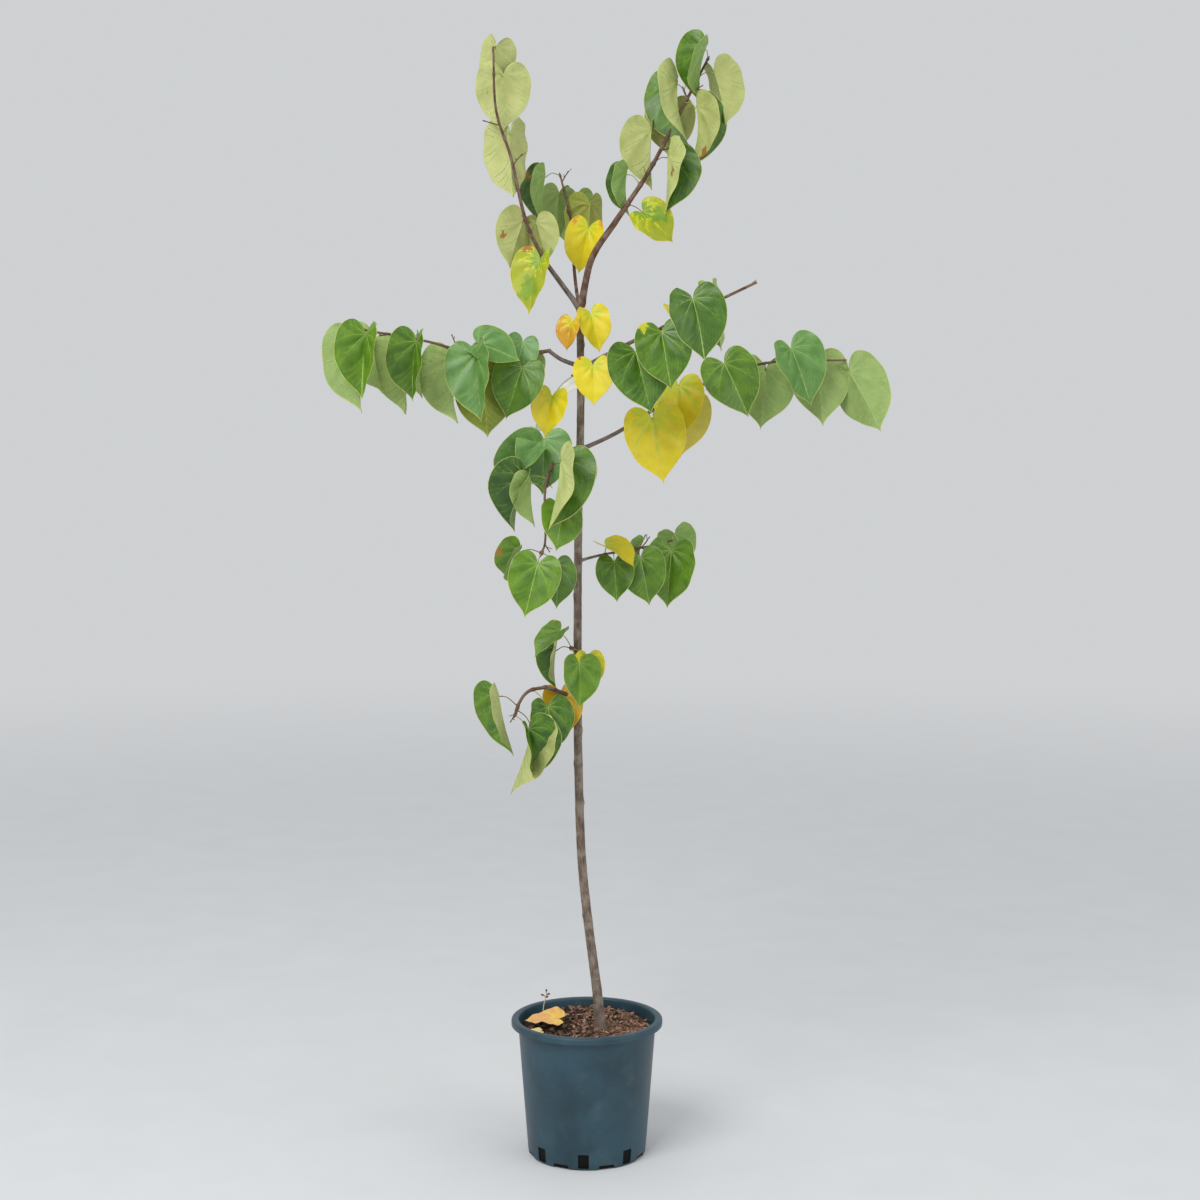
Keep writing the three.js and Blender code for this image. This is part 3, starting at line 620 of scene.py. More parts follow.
class Finish:
    """A material in the making: short ways to add and join its nodes."""

    def __init__(self, name, roughness, specular=0.5):
        self.material = bpy.data.materials.new(name)
        self.material.use_nodes = True
        self.tree = self.material.node_tree
        self.shader = self.tree.nodes["Principled BSDF"]
        self.shader.inputs["Roughness"].default_value = roughness
        self.shader.inputs["Specular IOR Level"].default_value = specular
        self.place = add_node(self.tree, "ShaderNodeTexCoord").outputs["Object"]

    def join(self, start, end):
        self.tree.links.new(start, end)

    def own(self, name, output="Fac"):
        """A value that the piece itself carries."""
        made = add_node(self.tree, "ShaderNodeAttribute", attribute_name=name)
        return made.outputs[output]

    def effect(self, group, vector=None, output="Mask", **values):
        made = add_node(self.tree, "ShaderNodeGroup", node_tree=group)
        for key, value in values.items():
            made.inputs[key].default_value = value
        self.join(self.place if vector is None else vector, made.inputs["Vector"])
        return made.outputs[output]

    def sum(self, *weighted):
        """Masks added up, each by its weight, from pairs of mask and weight."""
        total = None
        for mask, weight in weighted:
            step = add_node(self.tree, "ShaderNodeMath", {1: weight}, operation="MULTIPLY_ADD")
            self.join(mask, step.inputs[0])
            if total is None:
                step.inputs[2].default_value = 0.0
            else:
                self.join(total, step.inputs[2])
            total = step.outputs[0]
        return total

    def mix(self, mask, first, second):
        """From the first colour to the second as the mask goes from 0 to 1."""
        made = add_node(self.tree, "ShaderNodeMix", data_type="RGBA")
        self.join(mask, made.inputs["Factor"])
        for value, entry in ((first, 6), (second, 7)):
            if isinstance(value, tuple):
                made.inputs[entry].default_value = colour(value)
            else:
                self.join(value, made.inputs[entry])
        return made.outputs[2]

    def spread(self, mask, low, high):
        """A mask carried to the values between low and high."""
        made = add_node(self.tree, "ShaderNodeMapRange", {"To Min": low, "To Max": high})
        self.join(mask, made.inputs["Value"])
        return made.outputs["Result"]

    def relief(self, height, strength, depth):
        """Raises the surface by a height, with the depth in metres."""
        bump = add_node(self.tree, "ShaderNodeBump", {"Strength": strength, "Distance": depth})
        self.join(height, bump.inputs["Height"])
        self.join(bump.outputs["Normal"], self.shader.inputs["Normal"])

    def paint(self, tint, roughness=None):
        self.join(tint, self.shader.inputs["Base Color"])
        if roughness is not None:
            self.join(roughness, self.shader.inputs["Roughness"])


def leaf_finish(name, deep, light, gloss, pale=0.1):
    """A leaf's skin: cloudy colour, lighter by the veins, and a fine net of the smallest veins."""
    finish = Finish(name, 0.45)
    cloud = finish.effect(BLOTCHES, Scale=42.0, Low=0.3, High=0.7)
    net = finish.effect(NET, Scale=260.0, Width=0.12)
    vein = finish.own("vein")
    tone = finish.own("tone")
    mask = finish.sum((cloud, 0.35), (vein, pale), (tone, 0.4), (net, 0.08))
    finish.paint(finish.mix(mask, deep, light), finish.spread(cloud, gloss - 0.05, gloss + 0.07))
    fine = finish.effect(BLOTCHES, Scale=900.0, Low=0.2, High=0.8)
    finish.relief(finish.sum((net, -0.6), (fine, 0.3)), 0.5, 0.0003)


def edge_finish(name, deep, light, roughness=0.5):
    """A narrow part of a leaf, such as its margin or a vein."""
    finish = Finish(name, roughness)
    cloud = finish.effect(BLOTCHES, Scale=120.0)
    fine = finish.effect(BLOTCHES, Scale=700.0)
    finish.paint(finish.mix(cloud, deep, light))
    finish.relief(fine, 0.3, 0.0002)


def bark_finish(name, deep, middle, pale, across=420.0, along=45.0, roughness=0.8, depth=0.0006):
    """Bark with streaks along the limb, cloudy patches and fine cracks."""
    finish = Finish(name, roughness, 0.35)
    grain = finish.own("grain", "Vector")
    streak = finish.effect(STREAKS, grain, Across=across, Along=along)
    height = finish.effect(STREAKS, grain, "Height", Across=across * 2.2, Along=along * 1.6)
    cloud = finish.effect(BLOTCHES, Scale=55.0, Low=0.4, High=0.68)
    fleck = finish.effect(SPECKS, Scale=420.0, Size=0.22)
    body = finish.mix(streak, deep, middle)
    patched = finish.mix(finish.sum((cloud, 0.7), (fleck, 0.25)), body, pale)
    finish.paint(patched, finish.spread(streak, roughness + 0.08, roughness - 0.08))
    finish.relief(finish.sum((height, 1.0), (streak, 0.4)), 0.7, depth)


def shoot_finish(name, deep, light, roughness=0.5):
    """The smooth skin of stalks, young twigs and buds, streaked along their length."""
    finish = Finish(name, roughness)
    grain = finish.own("grain", "Vector")
    streak = finish.effect(STREAKS, grain, Across=900.0, Along=70.0)
    cloud = finish.effect(BLOTCHES, Scale=60.0)
    finish.paint(finish.mix(finish.sum((streak, 0.5), (cloud, 0.5)), deep, light))
    finish.relief(streak, 0.4, 0.0002)


def wood_finish(name, deep, light):
    """A cut end's pale wood."""
    finish = Finish(name, 0.75, 0.3)
    fine = finish.effect(BLOTCHES, Scale=1500.0)
    finish.paint(finish.mix(fine, deep, light))
    finish.relief(fine, 0.5, 0.0002)


def plastic_finish(name, deep, light, dusty):
    """Moulded pot plastic: faint clouding, scuffs, dust and a fine grain."""
    finish = Finish(name, 0.42, 0.5)
    cloud = finish.effect(BLOTCHES, Scale=9.0, Detail=5.0, Low=0.3, High=0.7)
    grey = finish.effect(BLOTCHES, Scale=26.0, Detail=6.0, Low=0.52, High=0.8)
    scuff = finish.effect(STREAKS, None, Across=35.0, Along=260.0, Low=0.62, High=0.74)
    speck = finish.effect(SPECKS, Scale=85.0, Size=0.09)
    grain = finish.effect(BLOTCHES, Scale=1400.0, Detail=2.0)
    dust = finish.sum((grey, 0.28), (scuff, 0.22), (speck, 0.5))
    finish.paint(
        finish.mix(dust, finish.mix(cloud, deep, light), dusty),
        finish.spread(finish.sum((cloud, 0.5), (dust, 0.8)), 0.36, 0.62),
    )
    finish.relief(finish.sum((grain, 0.5), (scuff, -0.3), (speck, 0.6)), 0.35, 0.0003)


def chip_finish(name, deep, light, pale, cell=55.0):
    """Bark chips and crumbs, each with its own shade by where it lies."""
    finish = Finish(name, 0.85, 0.3)
    shade = finish.effect(BLOTCHES, Scale=cell, Detail=1.0, Low=0.3, High=0.7)
    other = finish.effect(BLOTCHES, Scale=cell * 2.4, Detail=2.0, Low=0.5, High=0.75)
    fibre = finish.effect(STREAKS, None, Across=420.0, Along=1500.0)
    body = finish.mix(finish.sum((shade, 0.7), (fibre, 0.3)), deep, light)
    finish.paint(finish.mix(other, body, pale))
    finish.relief(fibre, 0.8, 0.0006)


def strip_finish(name, deep, light):
    """The blank label's white plastic, a little weathered."""
    finish = Finish(name, 0.42)
    cloud = finish.effect(BLOTCHES, Scale=70.0, Low=0.45, High=0.75)
    speck = finish.effect(SPECKS, Scale=500.0, Size=0.12)
    grain = finish.effect(BLOTCHES, Scale=2500.0)
    finish.paint(finish.mix(finish.sum((cloud, 0.6), (speck, 0.4)), light, deep))
    finish.relief(grain, 0.2, 0.0001)


def make_finishes():
    """Every finish, with its colours as seen on the real plant."""
    leaf_finish("leaf_green", (38, 82, 8), (112, 154, 30), 0.34, 0.25)
    leaf_finish("leaf_dark", (28, 68, 10), (84, 124, 32), 0.34, 0.25)
    # The next finish is green with a painted sky sheen: lighter and greyer-blue than the plain green,
    # standing in for the sky's reflection on glossy upper faces.
    leaf_finish("leaf_silver", (70, 118, 46), (124, 166, 88), 0.34, 0.25)
    leaf_finish("leaf_chartreuse", (146, 158, 20), (186, 192, 44), 0.42)
    leaf_finish("leaf_underside", (126, 156, 82), (172, 192, 114), 0.58)
    leaf_finish("leaf_underside_fresh", (112, 150, 72), (158, 186, 100), 0.55)
    leaf_finish("leaf_underside_gold", (160, 166, 92), (202, 206, 136), 0.6)
    leaf_finish("leaf_underside_olive", (138, 146, 48), (176, 182, 80), 0.55)
    leaf_finish("leaf_underside_mottled", (112, 136, 40), (160, 172, 68), 0.55)
    leaf_finish("leaf_cream", (176, 186, 104), (212, 216, 152), 0.6)
    leaf_finish("leaf_yellow", (200, 180, 8), (238, 220, 34), 0.42)
    leaf_finish("leaf_amber", (200, 152, 10), (232, 190, 26), 0.42)
    leaf_finish("leaf_lime", (182, 184, 14), (214, 212, 40), 0.42)
    leaf_finish("leaf_yellow_green", (104, 144, 26), (150, 178, 46), 0.42, 0.25)
    leaf_finish("leaf_yellow_underside", (200, 186, 64), (226, 212, 106), 0.6)
    leaf_finish("leaf_orange", (196, 138, 34), (226, 176, 44), 0.5)
    leaf_finish("leaf_rust", (138, 92, 36), (184, 126, 48), 0.6)
    leaf_finish("leaf_dried", (222, 160, 96), (246, 206, 140), 0.7)
    leaf_finish("leaf_dried_yellow", (226, 182, 76), (246, 216, 124), 0.7)
    leaf_finish("leaf_dried_cream", (214, 192, 112), (240, 224, 160), 0.7)
    edge_finish("leaf_margin", (176, 188, 88), (206, 208, 112))
    edge_finish("leaf_margin_yellow", (222, 190, 40), (240, 214, 80))
    edge_finish("vein_pale", (150, 182, 96), (186, 204, 124))
    edge_finish("vein_lime", (176, 186, 66), (208, 208, 96))
    edge_finish("vein_dried", (200, 132, 72), (226, 170, 110))
    shoot_finish("stalk_green", (128, 146, 62), (184, 176, 92))
    shoot_finish("stalk_red", (112, 62, 50), (158, 112, 84))
    shoot_finish("bud_red", (64, 34, 30), (104, 60, 46))
    bark_finish("bark_trunk", (86, 72, 62), (126, 109, 96), (152, 140, 126))
    bark_finish("bark_grey", (84, 70, 66), (122, 106, 98), (146, 134, 126))
    bark_finish("bark_brown", (70, 48, 38), (112, 82, 64), (136, 112, 94))
    bark_finish("bark_shoot", (72, 50, 42), (116, 90, 70), (138, 116, 96), 700.0)
    wood_finish("lenticel", (150, 134, 116), (182, 168, 148))
    wood_finish("cut_wood", (188, 160, 118), (222, 200, 160))
    plastic_finish("pot_plastic", (27, 54, 66), (42, 76, 90), (88, 108, 110))
    chip_finish("soil", (34, 24, 18), (66, 46, 34), (92, 66, 48), 90.0)
    # The next finish is near-black: painted shade for the dark inside of the pot, seen through its
    # slots, not the soil's own colour.
    chip_finish("soil_sides", (7, 6, 6), (13, 11, 10), (22, 18, 15), 90.0)
    chip_finish("chip_red", (96, 66, 52), (156, 112, 92), (206, 170, 148))
    chip_finish("chip_brown", (62, 44, 34), (122, 92, 72), (178, 144, 116))
    chip_finish("chip_dark", (26, 19, 15), (52, 36, 28), (74, 54, 42))
    chip_finish("chip_pale", (152, 122, 94), (204, 174, 140), (232, 208, 178))
    strip_finish("strip_white", (232, 232, 228), (250, 250, 248))


# Leaves: the blade laid flat
TIP_TO_SIDE = np.array([(0, 1), (0.04, 0.8), (0.47, 0.72), (0.5, 0.24)])
SIDE_TO_NOTCH = np.array([(0.5, 0.24), (0.53, -0.2), (0.15, -0.38), (0, 0)])
LAST_STATION = 0.97
WIDEST_TURN = math.radians(158.5)
VEIN_BOW = 0.35
COLUMNS = 32
REACHES = (0.06, 0.13, 0.2, 0.28, 0.36, 0.44, 0.52, 0.6, 0.68, 0.76, 0.84, 0.91, 0.96, 0.985, 1.0)
HALF_SKIN = 0.25
HALF_RIM = 0.14
VEIN_TINT = 0.022
VEIN_DIP = 0.045
TOP, UNDER, MARGIN, VEIN = range(4)


def bezier(knots, t):
    t = t[..., None]
    back = 1 - t
    ends = back**3 * knots[0] + t**3 * knots[3]
    return ends + 3 * back * back * t * knots[1] + 3 * back * t * t * knots[2]


def outline_at(stations):
    """Half the outline of a leaf one long, from the tip (0) round the side to the notch (1)."""
    first = bezier(TIP_TO_SIDE, np.minimum(stations * 2, 1))
    second = bezier(SIDE_TO_NOTCH, np.maximum(stations * 2 - 1, 0))
    return np.where((stations < 0.5)[..., None], first, second)


def flat_at(stations, reaches):
    """A place on the right half: on the bowed ray to a station, at a share of its length."""
    stations, reaches = np.broadcast_arrays(np.asarray(stations, float), reaches)
    edge = outline_at(stations)
    turn = np.arctan2(edge[..., 0], edge[..., 1])
    turn = turn + VEIN_BOW * np.sin(turn * math.pi / WIDEST_TURN) * (1 - reaches)
    far = np.hypot(edge[..., 0], edge[..., 1]) * reaches
    return np.stack([np.sin(turn) * far, np.cos(turn) * far], axis=-1)


# Each vein: its two ends as station and reach, and its radius there as a share of the leaf.
MAIN_VEINS = [(s, 0.0, s, 0.95, 0.0058, 0.0026) for s in (0.36, 0.52, 0.68)]
MAIN_VEINS += [(0.84, 0.0, 0.84, 0.9, 0.0045, 0.0024)]
SIDE_VEINS = [
    (0.0, 0.3, 0.31, 0.93), (0.0, 0.43, 0.25, 0.94), (0.0, 0.56, 0.19, 0.95),
    (0.0, 0.68, 0.14, 0.95), (0.0, 0.8, 0.09, 0.95),
    (0.36, 0.34, 0.465, 0.93), (0.36, 0.54, 0.43, 0.94), (0.36, 0.74, 0.395, 0.95),
    (0.52, 0.36, 0.63, 0.92), (0.52, 0.58, 0.585, 0.94), (0.52, 0.78, 0.55, 0.95),
    (0.68, 0.4, 0.79, 0.88), (0.68, 0.65, 0.74, 0.92),
]
SIDE_VEIN_RADII = (0.0052, 0.0038)


def vein_paths():
    """Each vein as its flat path, its reaches, its radii and how round it is."""
    midrib = np.linspace(0.01, 0.985, 16)
    paths = [(np.stack([midrib * 0, midrib], -1), midrib, lerp(0.0088, 0.003, midrib), 5)]
    for half in (-1, 1):
        for veins, steps, sides in ((MAIN_VEINS, 12, 4), (SIDE_VEINS, 7, 3)):
            for vein in veins:
                share = np.linspace(0, 1, steps)
                stations = lerp(vein[0], vein[2], share**0.8)
                reaches = lerp(max(vein[1], 0.01), vein[3], share)
                first, last = vein[4:] or SIDE_VEIN_RADII
                path = flat_at(stations, reaches) * (half, 1)
                paths.append((path, reaches, lerp(first, last, share), sides))
    return paths


def nearest_vein(places, paths):
    """How far each flat place is from the nearest vein."""
    dense = []
    for path, _, _, _ in paths:
        share = np.linspace(0, len(path) - 1, len(path) * 5)
        index = np.arange(len(path))
        dense.append(np.stack([np.interp(share, index, path[:, k]) for k in range(2)], -1))
    dense = np.concatenate(dense)
    return np.min(np.linalg.norm(places[:, None] - dense[None], axis=-1), axis=1)


class FlatBlade:
    """One leaf laid flat and one long, as a closed skin with its veins as ridges."""

    def __init__(self):
        paths = vein_paths()
        self.faces = []
        self.kinds = []
        self.points = []
        self.count = 0
        self.add_skins()
        for path, reaches, radii, sides in paths:
            self.add_vein(path, reaches, radii, sides)
        self.places, self.lifts, self.skins, self.reaches = map(np.concatenate, zip(*self.points))
        distance = nearest_vein(self.places, paths)
        self.vein = np.exp(-((distance / VEIN_TINT) ** 2))
        fading = 1 - self.reaches**6
        self.swell = (1 - np.exp(-((distance / VEIN_DIP) ** 2))) * fading
        turn = np.arctan2(np.abs(self.places[:, 0]), self.places[:, 1])
        self.turn = turn * np.sign(self.places[:, 0])

    def keep(self, places, lifts, skins, reaches):
        self.points.append((places, lifts, skins, reaches))
        self.count += len(places)

    def add_faces(self, rows, kind):
        self.faces.append(np.asarray(rows, np.int32))
        self.kinds.append(np.broadcast_to(kind, len(rows)))

    def add_skins(self):
        """The upper and lower skins and the rim between them."""
        rings = len(REACHES)
        columns = np.arange(-COLUMNS, COLUMNS + 1)
        rows = len(columns)
        stations = np.abs(columns) / COLUMNS * LAST_STATION
        reaches = np.tile(REACHES, (rows, 1))
        grid = flat_at(stations[:, None], reaches)
        grid[..., 0] *= np.sign(columns)[:, None]
        places = np.vstack([[[0.0, 0.0]], grid.reshape(-1, 2)])
        reaches = np.concatenate([[0.0], reaches.ravel()])
        thin = np.interp(reaches, (0.9, 1.0), (HALF_SKIN, HALF_RIM))
        step = len(places)
        for side in (1, -1):
            self.keep(places, np.zeros(step), side * thin, reaches)
        quads = 1 + grid_quads(rows, rings)
        rim = (quads[:, 0] - 1) % rings == rings - 2
        first = 1 + np.arange(rows - 1) * rings
        middle = np.stack([first * 0, first + rings, first], -1)
        self.add_faces(quads[:, FLIPPED], np.where(rim, MARGIN, TOP))
        self.add_faces(quads + step, np.where(rim, MARGIN, UNDER))
        self.add_faces(middle, TOP)
        self.add_faces(middle[:, ::-1] + step, UNDER)
        outer = 1 + grid_edge(rows, rings)[: 2 * rings + rows - 2]
        edge = np.concatenate([[0], outer])
        self.add_faces(band(edge, edge + step), MARGIN)

    def add_vein(self, path, reaches, radii, sides):
        """A vein as a thin closed ridge that stands proud of both skins."""
        holder = Shape(["ridge"])
        add_tube(holder, np.column_stack([path, reaches * 0]), radii, sides, 0)
        points = holder.points[0]
        per_point = np.concatenate([np.repeat(reaches, sides), reaches[:1], reaches[-1:]])
        for rows in holder.faces:
            self.add_faces(rows + self.count, VEIN)
        self.keep(points[:, :2], points[:, 2], np.zeros(len(points)), per_point)


BLADE = FlatBlade()


# Leaves: the source's rule for each one
def leaf_placed(joint, facing, lean, hang, length):
    """A leaf's joint and size, and its ways along, across and up."""
    normal = direction(facing, 90 - hang)
    axis = turned_about(direction(facing, -hang), normal, math.radians(-lean))
    side = np.cross(axis, normal)
    return {"joint": joint, "axis": axis, "normal": normal, "side": side, "length": length}


def leaf_from(row, stem, stalk, draw):
    """A leaf's place and form, from its row and the seed's next numbers, as in the source."""
    at, stalk_turn, stalk_rise, *placed = row[:7]
    form = {key: between(draw, ends) for key, ends in FORM.items()}
    start = point_at(stem, at)
    joint = start + direction(stalk_turn, stalk_rise) * stalk * form["stalk"]
    leaf = {**leaf_placed(joint, *placed), **form, "start": start, "tint": row[-1]}
    leaf["fold"] = math.radians(row[7] if len(row) > 8 else form["fold"])
    leaf["phase"] = math.radians(form["phase"])
    if abs(leaf["cup"]) < FLATTEST_CUP:
        leaf["cup"] = FLATTEST_CUP
    return leaf


def bent(leaf, x, y, lift):
    """The source's rule for a point of the blade: folded, cupped and bent, then lifted in mm."""
    half = np.sign(x)
    out = np.abs(x)
    length = leaf["length"]
    turned = leaf["fold"] + leaf["cup"] * out
    across = (np.sin(turned) - math.sin(leaf["fold"])) / leaf["cup"]
    ripple = leaf["ripple"] * np.sin(leaf["ripples"] * y + leaf["phase"] * half) * out
    rise = (math.cos(leaf["fold"]) - np.cos(turned)) / leaf["cup"] + ripple
    back = leaf["bend"] * y
    sideways = half * (across * length - np.sin(turned) * lift)
    high = rise * length + np.cos(turned) * lift
    along = np.sin(back) / leaf["bend"] * length + np.sin(back) * high
    off = -(1 - np.cos(back)) / leaf["bend"] * length + np.cos(back) * high
    ways = np.stack([leaf["side"], leaf["axis"], leaf["normal"]])
    return leaf["joint"] + np.stack([sideways, along, off], axis=-1) @ ways


# The finer form that each leaf draws for itself: puckers, small waves of its edge, and its tone.
FINE = {
    "width": (0.95, 1.03),
    "pucker": (0.013, 0.021),
    "wave": (0.01, 0.024),
    "waves": (6, 11),
    "sway": (0.006, 0.016),
    "phase": (0, 2 * math.pi),
}

# The finishes of a leaf's upper skin, lower skin, margin and veins, by its tint.
GREEN_RIM = ("leaf_margin", "vein_pale")
LIME_RIM = ("leaf_margin", "vein_lime")
YELLOW_RIM = ("leaf_margin_yellow", "vein_lime")
TINTS = {
    "g": ("leaf_green", "leaf_underside_fresh", *GREEN_RIM),
    "d": ("leaf_dark", "leaf_underside_fresh", *GREEN_RIM),
    # s: a green upper face with a painted sky sheen, on a fresh green underside
    "s": ("leaf_silver", "leaf_underside_fresh", *GREEN_RIM),
    "c": ("leaf_green", "leaf_cream", *GREEN_RIM),
    "e": ("leaf_dark", "leaf_cream", *GREEN_RIM),
    "p": ("leaf_green", "leaf_underside", *GREEN_RIM),
    "q": ("leaf_green", "leaf_underside_gold", *GREEN_RIM),
    "l": ("leaf_green", "leaf_underside_olive", *LIME_RIM),
    "v": ("leaf_yellow_green", "leaf_underside_mottled", *LIME_RIM),
    "y": ("leaf_yellow", "leaf_yellow_underside", *YELLOW_RIM),
    "w": ("leaf_chartreuse", "leaf_yellow_underside", *YELLOW_RIM),
    "a": ("leaf_amber", "leaf_yellow_underside", *YELLOW_RIM),
    "o": ("leaf_orange", "leaf_yellow_underside", "leaf_rust", "vein_lime"),
    "dry": ("leaf_dried", "leaf_dried", "leaf_dried_cream", "vein_dried"),
    "tan": ("leaf_dried_cream", "leaf_dried_cream", "leaf_dried_cream", "vein_lime"),
}
# What a turning leaf keeps by its veins, nearest and a little farther off.
WEB = {
    "y": ("leaf_lime", "leaf_lime"),
    "w": ("leaf_yellow_green", "leaf_lime"),
    "o": ("leaf_yellow", "leaf_yellow"),
    "dry": ("leaf_dried_yellow", "leaf_dried_yellow"),
}
# Patches that have turned: by spray and leaf, each a place on the flat leaf, its size and its finish.
TOUCHES = {
    ("left_leader_leaves", 0): [(0.3, -0.16, 0.08, "leaf_rust"), (0.05, 0.55, 0.2, "leaf_yellow_green")],
    ("left_leader_leaves", 2): [(-0.3, 0.4, 0.06, "leaf_rust")],
    ("left_leader_leaves", 1): [(0, 0.85, 0.26, "leaf_underside_fresh"), (-0.3, 0.2, 0.05, "leaf_rust")],
    ("right_leader_leaves", 0): [(-0.2, 0.3, 0.16, "leaf_yellow_green")],
    ("right_leader_leaves", 2): [(0.18, 0.32, 0.06, "leaf_rust")],
    ("right_leader_leaves", 6): [(0.25, 0.71, 0.09, "leaf_rust")],
    ("right_upper_leaves", 1): [(0.3, -0.22, 0.14, "leaf_lime"), (-0.3, -0.24, 0.12, "leaf_lime")],
    ("middle_leaves", 0): [(0.38, -0.12, 0.1, "leaf_orange"), (-0.36, -0.14, 0.08, "leaf_orange")],
    ("middle_leaves", 5): [(0.42, 0.05, 0.07, "leaf_rust")],
    ("left_bough_leaves", 6): [(0.3, -0.3, 0.08, "leaf_rust")],
    ("middle_left_leaves", 7): [(0.42, 0.27, 0.09, "leaf_rust")],
    ("middle_left_leaves", 9): [(0.34, -0.2, 0.07, "leaf_orange")],
    ("trunk_tuft_leaves", 0): [(0.4, -0.18, 0.07, "leaf_orange")],
    ("low_left_leaves", 2): [(0.3, 0.25, 0.08, "leaf_lime")],
    ("low_left_leaves", 4): [(0.08, -0.08, 0.07, "leaf_rust")],
    ("lower_trunk_leaves", 0): [(0.36, -0.2, 0.08, "leaf_rust"), (-0.3, -0.24, 0.07, "leaf_orange")],
    ("lower_trunk_leaves", 1): [(0.42, -0.05, 0.13, "leaf_amber")],
}
LEAF_VALUES = ("vein", "edge", "tone")


def fine_leaf(leaf, draw):
    """Draws a leaf's finer form."""
    for key, ends in FINE.items():
        leaf["fine_" + key] = between(draw, ends)
    leaf["tone"] = draw()


def dressed_points(leaf):
    """All the blade's points in place, with its puckers and small waves."""
    x = BLADE.places[:, 0] * leaf["fine_width"]
    y = BLADE.places[:, 1]
    phase = leaf["fine_phase"]
    outer = BLADE.reaches**3
    wave = np.sin(leaf["fine_waves"] * BLADE.turn + phase) * outer * leaf["fine_wave"]
    slow = np.sin(7 * x + phase) * np.cos(6 * y - phase) - math.sin(phase) * math.cos(phase)
    lift = BLADE.swell * leaf["fine_pucker"] + wave + slow * leaf["fine_sway"] * BLADE.reaches
    lift = (lift + BLADE.lifts) * leaf["length"] + BLADE.skins
    return bent(leaf, x, y, lift)


LEAST_GREEN = (0.55, 0.3)


def web_places(leaf, faces, kinds):
    """Which upper faces lie close enough to a vein or the stalk to have stayed green."""
    centre = BLADE.places[faces].mean(axis=1)
    near = BLADE.vein[faces].mean(axis=1)
    far = np.hypot(centre[:, 0], centre[:, 1])
    green = 0.75 * near * (1 - 0.6 * far) + 1.1 * np.exp(-((far / 0.2) ** 2)) - 0.3 * leaf["tone"]
    upper = kinds == TOP
    return [upper & (green > least) for least in LEAST_GREEN]


def touched(faces, place, size, leaf):
    """Which faces lie on a turned patch, its edge ragged."""
    centre = BLADE.places[faces].mean(axis=1)
    apart = np.hypot(centre[:, 0] - place[0], centre[:, 1] - place[1])
    turn = np.arctan2(centre[:, 1] - place[1], centre[:, 0] - place[0])
    ragged = 0.3 * np.sin(3 * turn + 9 * leaf["tone"]) + 0.2 * np.sin(8 * turn + 5 * leaf["tone"])
    return apart < size * (1 + ragged)


def add_blade(shape, leaf, touches=()):
    """Adds a leaf to its spray's blades, in its own tint and with its turned patches."""
    tint = leaf["tint"]
    places = np.array([shape.slot(finish) for finish in TINTS[tint]])
    slots = []
    for faces, kinds in zip(BLADE.faces, BLADE.kinds):
        chosen = places[kinds]
        if tint in WEB:
            near, farther = web_places(leaf, faces, kinds)
            chosen = np.where(farther, shape.slot(WEB[tint][1]), chosen)
            chosen = np.where(near, shape.slot(WEB[tint][0]), chosen)
        for x, y, size, finish in touches:
            chosen = np.where(touched(faces, (x, y), size, leaf), shape.slot(finish), chosen)
        slots.append(chosen)
    values = {"vein": BLADE.vein, "edge": BLADE.reaches, "tone": leaf["tone"]}
    shape.add(dressed_points(leaf), BLADE.faces, slots, **values)


# Which leaves and twigs fit, as in the source
BALLS = 60
OUTLINE_STATIONS = np.array([0, 0.16, 0.32, 0.48, 0.64, 0.82, 1])


def trunk_radii(points, shares):
    height = points[:, 2] - TRUNK["route"][0][2]
    flare = TRUNK["flare"] * np.exp(-height / TRUNK["flare_height"])
    return lerp(*TRUNK["radius"], shares) + flare


def limb_balls():
    """Every limb as a row of balls along it: centres and radii."""
    shares = np.linspace(0, 1, BALLS + 1)
    centres = [along_route(TRUNK["route"], shares)]
    radii = [trunk_radii(centres[0], shares)]
    for limb in LIMBS.values():
        centres.append(along_route(limb["route"], shares))
        radii.append(lerp(*limb["radius"], shares))
    return np.concatenate(centres), np.concatenate(radii)


BALL_CENTRES, BALL_RADII = limb_balls()


def fits(points, stem, reach):
    """Whether points keep to their spray's space and touch no limb."""
    points = np.atleast_2d(points)
    stem_points = along_route(stem, np.linspace(0, 1, BALLS + 1))
    apart = np.linalg.norm(points[:, None] - stem_points[None], axis=-1).min(axis=1)
    clear = np.linalg.norm(points[:, None] - BALL_CENTRES[None], axis=-1) - BALL_RADII
    return bool((apart < reach).all() and (clear > CLEARANCE).all())


def blade_samples(leaf):
    """Points all over a blade: its edge, and the middle of each half."""
    edge = outline_at(OUTLINE_STATIONS)
    flat = np.concatenate([edge * (s * k, k) for s in (-1, 1) for k in (0.5, 1)])
    return bent(leaf, flat[:, 0], flat[:, 1], 0.0)


# Twigs, stalks and buds
SHOOT_FINISHES = ("bark_shoot", "stalk_green", "stalk_red", "bud_red", "cut_wood")
SIDES = 7
STALK_STEPS = 15
STALK_RADIUS = (0.935, 0.7225)
STALK_SWELLS = ((0.5, 0, 0.09), (0.35, 0.86, 0.08))
STEM_BACK = 4
NODE_SWELL = 0.9
NODE_LENGTH = 3.5
STEM_SIDES = 14
ROUGHNESS = {"size": 0.09, "pitch": 0.35}
FINER = {"at": (0.45, 0.75), "spread": (35, 55), "length": (8, 15), "radius": (0.75, 0.5)}
BUD = {
    "length": 4.2, "radius": 1.25, "at": (0, 0.12, 0.3, 0.5, 0.7, 0.86, 0.96),
    "shape": (0.55, 0.85, 1.0, 0.92, 0.65, 0.35, 0.12),
}
KINK = {"swell": 0.25, "length": 0.08}
RED_SHARE = 0.35


